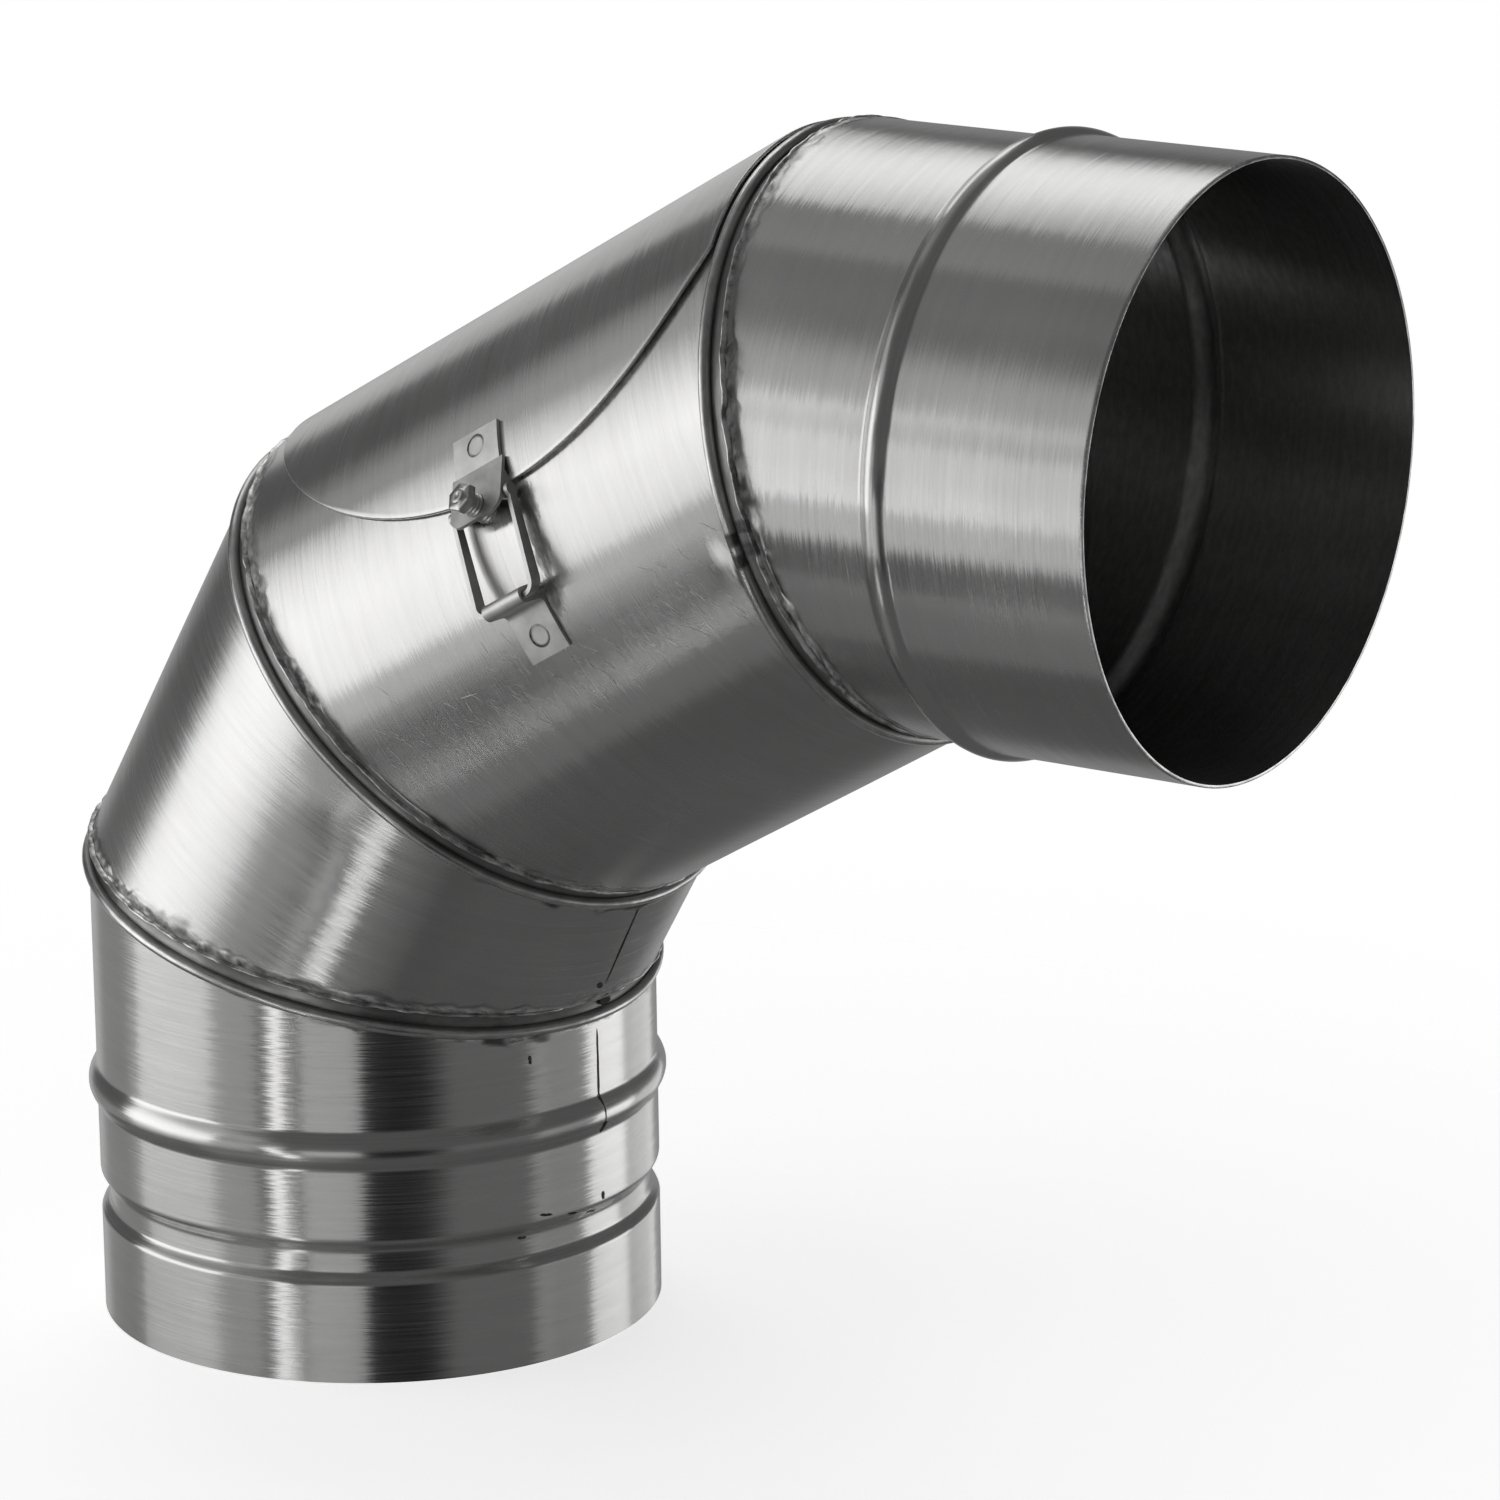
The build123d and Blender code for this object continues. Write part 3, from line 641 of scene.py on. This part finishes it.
def steel(name, look):
    # streaks run round the tube, welds are pale and mottled, soot is dark; painted shade darkens the inside
    # walls, a painted shadow lies beside the latch arm, and a painted highlight makes the ground patch paler
    material = bpy.data.materials.new(name)
    material.use_nodes = True
    tree = material.node_tree
    shader = tree.nodes["Principled BSDF"]
    wrapNode = newNode(tree, "ShaderNodeUVMap")
    wrapNode.uv_map = "wrap"
    wrap = wrapNode.outputs["UV"]
    fine, medium, patch, mottle, line = (sheetNoise(tree, wrap, look["seed"], *look[kind])
                                         for kind in ("fine", "medium", "patch", "mottle", "line"))
    paints = {}
    for paint in ("weld", "sootAndShade"):
        attribute = newNode(tree, "ShaderNodeAttribute")
        attribute.attribute_name = paint
        paints[paint] = attribute.outputs["Fac"]
    weld, sootAndShade = paints["weld"], paints["sootAndShade"]
    # the painted shadow beside the latch arm and a second dark patch join the darkening
    for spot in look["darkPatches"]:
        sootAndShade = combined(tree, "MAXIMUM", sootAndShade, raggedPatch(tree, wrap, mottle, spot))

    streak, mediumStreak = look["streak"], look["streak"] * look["mediumShare"]
    streaks = combined(tree, "ADD", ranged(tree, fine, *look["span"], -streak, streak),
                       ranged(tree, medium, *look["span"], -mediumStreak, mediumStreak))
    shade = combined(tree, "MULTIPLY", combined(tree, "ADD", streaks, 1.0),
                     ranged(tree, patch, *look["span"], *look["patchShade"]))
    shade = mixed(tree, "FLOAT", weld, shade, ranged(tree, mottle, *look["weldSpan"], *look["weldShade"]))
    thick = ranged(tree, mottle, *look["sootAndShadeSpan"], *look["sootAndShadeShare"])
    # darkening from soot, from the painted shade inside the tubes and from the painted shadow beside the
    # latch arm
    sootAndShadeAmount = combined(tree, "MULTIPLY", sootAndShade, thick, True)
    dim = combined(tree, "SUBTRACT", 1.0, combined(tree, "MULTIPLY", sootAndShadeAmount, look["sootAndShadeDim"]))
    value = combined(tree, "MULTIPLY", combined(tree, "MULTIPLY", shade, dim), look["grey"])

    smoothest, roughest = (look["rough"] + change for change in look["fineRough"])
    rough = combined(tree, "ADD", ranged(tree, fine, *look["span"], smoothest, roughest),
                     ranged(tree, patch, *look["span"], *look["patchRough"]))
    rough = combined(tree, "ADD", rough, combined(tree, "MULTIPLY", sootAndShadeAmount, look["sootAndShadeRough"]), True)
    rough = combined(tree, "ADD", rough, combined(tree, "MULTIPLY", weld, look["weldRough"]), True)
    unbrushed = weld
    for spot in look["groundAndGlint"]:
        groundAndGlint = raggedPatch(tree, wrap, mottle, spot)
        unbrushed = combined(tree, "MAXIMUM", unbrushed, groundAndGlint)
        rough = combined(tree, "ADD", rough, combined(tree, "MULTIPLY", groundAndGlint, look["groundRough"]), True)
        # painted highlight: the colour is raised on the ground patch, as a glint
        glintPaler = combined(tree, "ADD", combined(tree, "MULTIPLY", groundAndGlint, look["paintedGlint"]), 1.0)
        value = combined(tree, "MULTIPLY", value, glintPaler)

    colour = newNode(tree, "ShaderNodeCombineColor", None,
                     [combined(tree, "MULTIPLY", value, tint) for tint in look["tint"]])
    tangentNode = newNode(tree, "ShaderNodeTangent")
    tangentNode.direction_type = "UV_MAP"
    tangentNode.uv_map = "wrap"
    tangent = tangentNode.outputs["Tangent"]
    aniso = combined(tree, "SUBTRACT", look["aniso"], combined(tree, "MULTIPLY", unbrushed, look["aniso"]))
    shader.inputs["Metallic"].default_value = 1.0
    shader.inputs["Anisotropic Rotation"].default_value = 0.25
    link(tree, colour.outputs["Color"], shader.inputs["Base Color"])
    link(tree, rough, shader.inputs["Roughness"])
    link(tree, aniso, shader.inputs["Anisotropic"])
    link(tree, brushedNormal(tree, line, tangent, look["brush"]), shader.inputs["Normal"])
    link(tree, tangent, shader.inputs["Tangent"])
    return material


spigot = makeSpigot(steel("spigotSteel", dict(sheetLook, seed=1.0)))
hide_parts("lower_spigot")
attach(spigot, "lower_spigot")
lowerGoreSteel = steel("lowerGoreSteel", dict(sheetLook, seed=2.0))
lowerGore = makeGore("lowerGoreSkin", 1, lowerGoreSteel, goreShape["seamSwell"])
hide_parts("lower_gore")
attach(lowerGore, "lower_gore")
# the long tube gets a painted shadow beside the latch arm, a second dark patch, and a ground patch with a
# painted highlight
longGoreSteel = steel("inspectionGoreSteel", dict(
    sheetLook, seed=3.0, darkPatches=(latchPaintedShadow, lowDarkPatch), groundAndGlint=(weldGroundAndGlint,)))
longGore = makeGore("inspectionGoreSkin", 2, longGoreSteel, goreShape["weldLump"])
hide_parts("inspection_gore")
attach(longGore, "inspection_gore")
socket = makeSocket(steel("socketSteel", dict(sheetLook, seed=4.0)))
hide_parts("upper_socket")
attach(socket, "upper_socket")
cover = makeCover(steel("coverSteel", dict(sheetLook, seed=5.0)))
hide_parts("inspection_cover")
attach(cover, "inspection_gore")
print("tubes and cover made")

# finishes of the small pieces and the marks; spot welds are places on the near latch, in metres
smallLooks = {
    "latchSteel": {"scale": 160.0, "dark": (0.52, 0.52, 0.515), "pale": (0.76, 0.76, 0.75),
                   "rough": (0.38, 0.55), "metal": 1.0, "spotWelds": (
                       {"centre": (0.08928, -0.066673, 0.254691), "axis": (-0.253, -0.8625, 0.4382)},
                       {"centre": (0.114107, -0.074963, 0.211691), "axis": (0.0696, -0.9903, -0.1205)})},
    "screwSteel": {"scale": 300.0, "dark": (0.45, 0.45, 0.445), "pale": (0.72, 0.72, 0.71),
                   "rough": (0.25, 0.42), "metal": 1.0},
    "sealTape": {"scale": 700.0, "dark": (0.05, 0.05, 0.048), "pale": (0.11, 0.11, 0.1),
                 "rough": (0.8, 0.95), "metal": 0.0},
    "markSoot": {"scale": 900.0, "dark": (0.02, 0.018, 0.016), "pale": (0.14, 0.13, 0.12),
                 "rough": (0.45, 0.7), "metal": 0.6},
    "markBright": {"scale": 900.0, "dark": (0.6, 0.6, 0.59), "pale": (0.85, 0.85, 0.84),
                   "rough": (0.3, 0.5), "metal": 1.0},
}
spotRing = {"inner": (0.0021, 0.0026), "outer": (0.0029, 0.0032), "colour": (0.03, 0.028, 0.025, 1)}


def spotWeldRings(tree, place, noise, colour, welds):
    # broken dark rings round the spot welds, the same on both sides of the elbow
    folded = vectors(tree, "MULTIPLY", vectors(tree, "ABSOLUTE", place)[0], (1.0, -1.0, 1.0))[0]
    broken = ranged(tree, noise, 0.42, 0.56, 0.15, 0.85)
    for weld in welds:
        beside = vectors(tree, "SUBTRACT", folded, weld["centre"])[0]
        reach = vectors(tree, "LENGTH", vectors(tree, "CROSS_PRODUCT", beside, weld["axis"])[0])["Value"]
        ring = combined(tree, "MULTIPLY", ranged(tree, reach, *spotRing["inner"], 0.0, 1.0),
                        ranged(tree, reach, *spotRing["outer"], 1.0, 0.0))
        colour = mixed(tree, "RGBA", combined(tree, "MULTIPLY", ring, broken), colour, spotRing["colour"])
    return colour


def smallFinish(name, look):
    # two shades and two roughnesses, mixed by a fine noise
    material = bpy.data.materials.new(name)
    material.use_nodes = True
    tree = material.node_tree
    shader = tree.nodes["Principled BSDF"]
    place = newNode(tree, "ShaderNodeTexCoord").outputs["Object"]
    noiseNode = newNode(tree, "ShaderNodeTexNoise")
    noiseNode.inputs["Scale"].default_value = look["scale"]
    noiseNode.inputs["Detail"].default_value = 5.0
    link(tree, place, noiseNode.inputs["Vector"])
    noise = noiseNode.outputs["Fac"]
    ramp = newNode(tree, "ShaderNodeValToRGB", None, (noise,))
    for element, position, shade in zip(ramp.color_ramp.elements, (0.3, 0.7), ("dark", "pale")):
        element.position = position
        element.color = (*look[shade], 1)
    colour = ramp.outputs["Color"]
    if "spotWelds" in look:
        colour = spotWeldRings(tree, place, noise, colour, look["spotWelds"])
    link(tree, colour, shader.inputs["Base Color"])
    link(tree, ranged(tree, noise, 0.0, 1.0, *look["rough"]), shader.inputs["Roughness"])
    shader.inputs["Metallic"].default_value = look["metal"]
    return material


finishes = {name: smallFinish(name, look) for name, look in smallLooks.items()}

# latch screw along its axis, in millimetres: thread, hexagon head and dimpled boss
screwShape = {
    "foot": (96.581, -76.034, 242.047), "axis": (-0.307831, -0.788011, 0.533178),
    "down": (0.394005, -0.615661, -0.682437),
    "radius": 3.0, "pitch": 1.0, "thread": 0.42, "low": -4.5, "bevel": 0.6, "taper": 0.2,
    "head": 3.9, "face": 6.1, "flats": 7.2, "collar": 2.2, "chamfer": 0.3, "chamferShare": 0.93,
    "reach": 6.8, "boss": 2.1, "bossEdge": (0.2, 0.25), "dimple": (0.5, 0.6),  # heights and widths
    "around": 48, "threadRows": 85,
}


def makeScrew(name, side, material):
    axis, foot, down = (np.array(screwShape[key]) for key in ("axis", "foot", "down"))
    across = np.cross(axis, down)
    mirror = np.array([1.0, side, 1.0])
    skin = newSkin()
    full = np.linspace(0, fullTurn, screwShape["around"] + 1)

    def ring(angles, heights, radii):
        angles, heights, radii = np.broadcast_arrays(angles, heights, radii)
        spot = (foot + (np.cos(angles) * radii)[..., None] * down
                + (np.sin(angles) * radii)[..., None] * across + heights[..., None] * axis)
        addGrid(skin, spot * mirror, np.stack([angles, heights], -1), flip=side < 0)

    low, head, face, bevel = (screwShape[key] for key in ("low", "head", "face", "bevel"))
    heights = np.linspace(low, head, screwShape["threadRows"])[:, None]
    swing = np.abs(2 * np.mod(heights / screwShape["pitch"] - full / fullTurn, 1.0) - 1)
    taper = smooth(heights, low - screwShape["taper"], low + bevel)
    ring(full, heights, screwShape["radius"] - screwShape["thread"] * swing - bevel * (1 - taper))
    ring(full, np.full((2, 1), low), np.array([[0.0], [screwShape["radius"] - bevel]]))
    sixth = math.pi / 3
    flat, chamfer, share = screwShape["flats"] / 2, screwShape["chamfer"], screwShape["chamferShare"]
    hexagon = flat / np.cos(np.mod(full, sixth) - sixth / 2)
    ring(full, np.full((2, 1), head), np.stack([0 * full + screwShape["collar"], hexagon]))
    for number in range(6):
        span = np.linspace(number, number + 1, 9) * sixth
        edge = flat / np.cos(span - (number + 0.5) * sixth)
        ring(span, np.array([[head], [face - chamfer]]), np.stack([edge, edge]))
        ring(span, np.array([[face - chamfer], [face]]), np.stack([edge, edge * share]))
    top, boss = screwShape["reach"], screwShape["boss"]
    edgeHeight, edgeWidth = screwShape["bossEdge"]
    dimpleDepth, dimpleRadius = screwShape["dimple"]
    ring(full, np.full((2, 1), face), np.stack([hexagon * share, 0 * full + boss]))
    ring(full, np.array([[face], [top - edgeHeight], [top], [top], [top - dimpleDepth]]),
         np.array([[boss], [boss], [boss - edgeWidth], [dimpleRadius], [0.0]]))
    return makeSkin(name, skin, material)


for side, mirrored in (("near", 1), ("far", -1)):
    screw = makeScrew(side + "ScrewSkin", mirrored, finishes["screwSteel"])
    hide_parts(side + "_tension_screw")
    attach(screw, side + "_screw")

# stains on the walls: from one place to another, as angle from the throat and length along, and a width
spigotStains = [
    ((-1.5, 86.0), (-1.2, 59.5), 0.75), ((-1.2, 61.0), (-0.9, 57.6), 1.7), ((-0.6, 41.2), (-0.4, 39.0), 1.3),
    ((-19.8, 84.0), (-19.6, 81.6), 0.9), ((-22.4, 34.4), (-20.4, 34.2), 0.8),
    ((-18.1, 40.3), (-15.0, 39.6), 0.7), ((-11.0, 38.6), (-8.4, 37.9), 0.6),
    ((-4.6, 36.8), (-1.6, 35.9), 0.7),
]
lowerGoreStains = [
    ((-5.1, 56.6), (-2.8, 28.5), 0.55), ((-1.5, 24.0), (2.2, 20.5), 3.2), ((-5.5, 29.8), (-3.6, 28.2), 1.6),
]
socketStains = [((-80.6, 5.2), (-76.4, 4.4), 1.8), ((-78.6, 3.8), (-78.2, 8.2), 1.3)]
stainShape = {"points": 13, "wobble": 0.18, "lift": 0.14, "edgeLift": 0.7}
# short bright scratches below the latch
scratchShape = {"count": 150, "angle": -75, "angleSpread": 4.5, "along": 16, "alongRange": 128,
                "shortest": 2.0, "longer": 4.0, "slant": 0.5, "slantSpread": 0.25, "width": 0.14, "lift": 0.1}


def makeMarks(name, tube, body, marks, material, lift=stainShape["lift"]):
    skin = newSkin()
    random = np.random.default_rng(len(marks) + 5 * tube)
    points = stainShape["points"]
    share = np.linspace(0, 1, points)
    for first, second, width in marks:
        wobble = stainShape["wobble"] * width * (random.random(points) - 0.5)
        angle = first[0] + share * (second[0] - first[0])
        along = first[1] + share * (second[1] - first[1])
        run = np.array([np.radians(second[0] - first[0]) * elbow["tubeRadius"], second[1] - first[1]])
        run = run / np.linalg.norm(run)
        pointed = np.sqrt(np.clip(1 - (2 * share - 1) ** 4, 0.02, 1))
        spread = width / 2 * pointed * (0.7 + 0.5 * random.random(points))
        rows = []
        for sign, rowLift in ((-1, stainShape["edgeLift"]), (0, 1), (1, stainShape["edgeLift"])):
            beside = sign * spread + wobble
            turn = np.radians(angle) - run[1] * beside / elbow["tubeRadius"]
            spot = along + run[0] * beside
            wall = spigotOuter(spot) if tube == 0 else elbow["tubeRadius"]
            rows.append(onTube(tube, turn, spot, wall + lift * rowLift))
        addGrid(skin, np.array(rows), np.zeros((3, points, 2)), flip=True)
    piece = makeSkin(name, skin, material)
    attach(piece, body)


def scratchPlaces():
    random = np.random.default_rng(77)
    places = []
    for number in range(scratchShape["count"]):
        angle = scratchShape["angle"] + scratchShape["angleSpread"] * random.normal()
        along = scratchShape["along"] + scratchShape["alongRange"] * random.random()
        length = scratchShape["shortest"] + scratchShape["longer"] * random.random()
        slant = scratchShape["slant"] + scratchShape["slantSpread"] * random.normal()
        turn = math.degrees(length * math.cos(slant) / elbow["tubeRadius"]) / 2
        rise = length * math.sin(slant) / 2
        places.append(((angle - turn, along - rise), (angle + turn, along + rise), scratchShape["width"]))
    return places


makeMarks("spigotStains", 0, "lower_spigot", spigotStains, finishes["markSoot"])
makeMarks("lowerGoreStains", 1, "lower_gore", lowerGoreStains, finishes["markSoot"])
makeMarks("inspectionGoreScratches", 2, "inspection_gore", scratchPlaces(), finishes["markBright"],
          scratchShape["lift"])
makeMarks("socketStains", 3, "upper_socket", socketStains, finishes["markSoot"])
print("screws and marks made")

painted = {"cover_gasket": "sealTape"}
for side in ("near", "far"):
    for part in ("anchor_bracket", "latch_bail", "keeper_hook"):
        painted[side + "_" + part] = "latchSteel"
for node, finish in painted.items():
    nodes[node].data.materials.clear()
    nodes[node].data.materials.append(finishes[finish])
print("latches and gasket painted")

# the photograph's viewpoint, fitted to rims, beads and seams; degrees, metres, and millimetres of lens
photoView = {"azimuth": 35.499, "elevation": 14.879, "roll": -0.763, "distance": 1.77907,
             "target": (0.123214, 0.0, 0.167358), "lens": 168.73, "sensor": 36.0, "clip": (0.05, 50.0)}


def facing(turnDegrees, liftDegrees):
    # direction by angles from the camera's side, positive to the right and up
    turn, lift = math.radians(photoView["azimuth"] + turnDegrees), math.radians(liftDegrees)
    return Vector((math.sin(turn) * math.cos(lift), -math.cos(turn) * math.cos(lift), math.sin(lift)))


def makeCamera():
    away = facing(0, photoView["elevation"])
    roll = math.radians(photoView["roll"])
    right = (-away).cross(Vector((0, 0, 1))).normalized()
    up = right.cross(-away)
    rightTurned = right * math.cos(roll) + up * math.sin(roll)
    upTurned = up * math.cos(roll) - right * math.sin(roll)
    data = bpy.data.cameras.new("photoCamera")
    data.lens, data.sensor_width = photoView["lens"], photoView["sensor"]
    data.clip_start, data.clip_end = photoView["clip"]
    camera = bpy.data.objects.new("photoCamera", data)
    turn = Matrix((rightTurned, upTurned, away)).transposed().to_4x4()
    stand = Vector(photoView["target"]) + away * photoView["distance"]
    camera.matrix_world = Matrix.Translation(stand) @ turn
    scene.collection.objects.link(camera)
    scene.camera = camera


# floor and room in metres; places in the room as turn and lift from the camera's side, with half angles
studio = {
    "floorRadius": 0.46, "floorCorners": 96, "drop": 0.0004, "floorGrey": 0.8, "floorGlow": 0.72,
    "footRadius": 0.074, "footEdge": 0.0006, "fade": (0.13, 0.45),
    "room": 0.11, "behind": (180, -13), "behindHalf": (26, 36), "behindShare": 0.3,
    "dark": (10, -19), "darkHalf": (13, 19), "aim": (0.11, 0, 0.17), "narrowest": 0.3,
}
softBoxes = {
    "leftBox": {"turn": -90, "wide": 46, "lift": 4, "tall": 32, "away": 1.6, "level": 1.52},
    "leftUpperBox": {"turn": -86, "wide": 72, "lift": 29, "tall": 18, "away": 1.6, "level": 0.42},
    "leftTopBox": {"turn": -108, "wide": 72, "lift": 50, "tall": 25, "away": 1.6, "level": 0.13},
    "leftLowerBox": {"turn": -90, "wide": 40, "lift": -17, "tall": 14, "away": 1.6, "level": 0.75},
    "leftRearBox": {"turn": -145, "wide": 66, "lift": -17, "tall": 20, "away": 1.6, "level": 0.2},
    "betweenBox": {"turn": -60, "wide": 19, "lift": -17, "tall": 16, "away": 1.6, "level": 0.4},
    "stripBox": {"turn": -42, "wide": 5.5, "lift": -15, "tall": 26, "away": 1.6, "level": 1.85},
    "goreStripBox": {"turn": -39.5, "wide": 5, "lift": -37, "tall": 13, "away": 1.6, "level": 3.2},
    "frontLowBox": {"turn": -19.5, "wide": 24, "lift": -17, "tall": 20, "away": 1.6, "level": 0.65},
    "frontLeftBox": {"turn": -53, "wide": 30, "lift": 1, "tall": 20, "away": 1.7, "level": 0.4},
    "backTopBox": {"turn": -170, "wide": 50, "lift": 50, "tall": 25, "away": 1.6, "level": 1.3},
    "backBox": {"turn": -165, "wide": 28, "lift": 18, "tall": 36, "away": 1.6, "level": 0.35},
    "overBox": {"turn": -150, "wide": 110, "lift": 78, "tall": 36, "away": 1.5, "level": 0.15},
    "rightFarBox": {"turn": 52, "wide": 46, "lift": -17, "tall": 20, "away": 1.6, "level": 0.08},
    "rightLowBox": {"turn": 84, "wide": 34, "lift": -17, "tall": 20, "away": 1.6, "level": 0.3},
    "rightRimBox": {"turn": 112, "wide": 26, "lift": -16, "tall": 22, "away": 1.6, "level": 1.45},
    "rightEdgeBox": {"turn": 142, "wide": 30, "lift": -16, "tall": 22, "away": 1.6, "level": 0.7},
    "underBox": {"turn": -55, "wide": 72, "lift": -50, "tall": 25, "away": 1.2, "level": 0.1},
}


def floorPaint():
    # pale floor that keeps the shadow and fades into the white room; seen from above only
    material = bpy.data.materials.new("floorWhite")
    material.use_nodes = True
    tree = material.node_tree
    tree.nodes.clear()
    path = newNode(tree, "ShaderNodeLightPath").outputs
    place = newNode(tree, "ShaderNodeNewGeometry").outputs
    reach = vectors(tree, "LENGTH", vectors(tree, "MULTIPLY", place["Position"], (1.0, 1.0, 0.0))[0])["Value"]
    near = ranged(tree, reach, studio["footRadius"], studio["footRadius"] + studio["footEdge"], 1.0, 0.0)
    wide = ranged(tree, reach, *studio["fade"], 1.0, 0.0)
    above = combined(tree, "SUBTRACT", 1.0, place["Backfacing"])
    looked = combined(tree, "MAXIMUM", path["Is Camera Ray"], path["Is Diffuse Ray"])
    shown = combined(tree, "MULTIPLY", combined(tree, "MULTIPLY", looked, wide), above)
    shown = combined(tree, "MAXIMUM", shown, near)
    below = combined(tree, "MULTIPLY", path["Is Camera Ray"], place["Backfacing"])
    shown = combined(tree, "MULTIPLY", shown, combined(tree, "SUBTRACT", 1.0, below))
    mirrored = combined(tree, "MAXIMUM", path["Is Glossy Ray"], path["Is Transmission Ray"])
    seen = combined(tree, "MAXIMUM", path["Is Camera Ray"], mirrored)
    glow = newNode(tree, "ShaderNodeEmission")
    link(tree, combined(tree, "MULTIPLY", seen, studio["floorGlow"]), glow.inputs["Strength"])
    paint = newNode(tree, "ShaderNodeBsdfDiffuse")
    paint.inputs["Color"].default_value = (studio["floorGrey"], studio["floorGrey"], studio["floorGrey"], 1)
    both = newNode(tree, "ShaderNodeAddShader", None, (paint.outputs["BSDF"], glow.outputs["Emission"]))
    clear = newNode(tree, "ShaderNodeBsdfTransparent")
    mix = newNode(tree, "ShaderNodeMixShader", None, (shown, clear.outputs["BSDF"], both.outputs["Shader"]))
    output = newNode(tree, "ShaderNodeOutputMaterial")
    link(tree, mix.outputs["Shader"], output.inputs["Surface"])
    return material


def makeFloor():
    radius, count = studio["floorRadius"], studio["floorCorners"]
    steps = [fullTurn * number / count for number in range(count)]
    edge = [(radius * math.cos(step), radius * math.sin(step), -studio["drop"]) for step in steps]
    mesh = bpy.data.meshes.new("floor")
    mesh.from_pydata(edge, [], [tuple(range(count))])
    mesh.materials.append(floorPaint())
    floor = bpy.data.objects.new("floor", mesh)
    scene.collection.objects.link(floor)


def makeRoom():
    # white to the camera; in the steel only what lies behind the elbow is pale, and one side is dark
    world = bpy.data.worlds.new("studioRoom")
    scene.world = world
    world.use_nodes = True
    tree = world.node_tree
    path = newNode(tree, "ShaderNodeLightPath").outputs
    outward = newNode(tree, "ShaderNodeTexCoord").outputs["Generated"]

    def towards(middle, half):
        share = vectors(tree, "DOT_PRODUCT", outward, facing(*middle))["Value"]
        return ranged(tree, share, math.cos(math.radians(half[1])), math.cos(math.radians(half[0])))

    mirrored = combined(tree, "MAXIMUM", path["Is Glossy Ray"], path["Is Transmission Ray"])
    behind = combined(tree, "MULTIPLY", mirrored, towards(studio["behind"], studio["behindHalf"]))
    behind = combined(tree, "MULTIPLY", behind, studio["behindShare"])
    white = combined(tree, "MAXIMUM", path["Is Camera Ray"], behind)
    lit = combined(tree, "SUBTRACT", 1.0, towards(studio["dark"], studio["darkHalf"]))
    level = combined(tree, "MAXIMUM", white, combined(tree, "MULTIPLY", lit, studio["room"]))
    background = tree.nodes["Background"]
    background.inputs["Color"].default_value = (1, 1, 1, 1)
    link(tree, level, background.inputs["Strength"])


def makeSoftBox(name, box):
    # lit panel that faces the elbow
    direction, lift = facing(box["turn"], box["lift"]), math.radians(box["lift"])
    data = bpy.data.lights.new(name, "AREA")
    data.shape = "RECTANGLE"
    narrowed = max(studio["narrowest"], math.cos(lift))
    data.size = 2 * box["away"] * math.tan(math.radians(box["wide"] / 2)) * narrowed
    data.size_y = 2 * box["away"] * math.tan(math.radians(box["tall"] / 2))
    data.energy = box["level"] * math.pi * data.size * data.size_y
    lamp = bpy.data.objects.new(name, data)
    lamp.location = Vector(studio["aim"]) + direction * box["away"]
    lamp.rotation_mode = "QUATERNION"
    lamp.rotation_quaternion = direction.to_track_quat("Z", "Y")
    scene.collection.objects.link(lamp)


makeCamera()
makeFloor()
makeRoom()
for boxName, box in softBoxes.items():
    makeSoftBox(boxName, box)
scene.view_settings.view_transform = "Standard"
print("studio set")
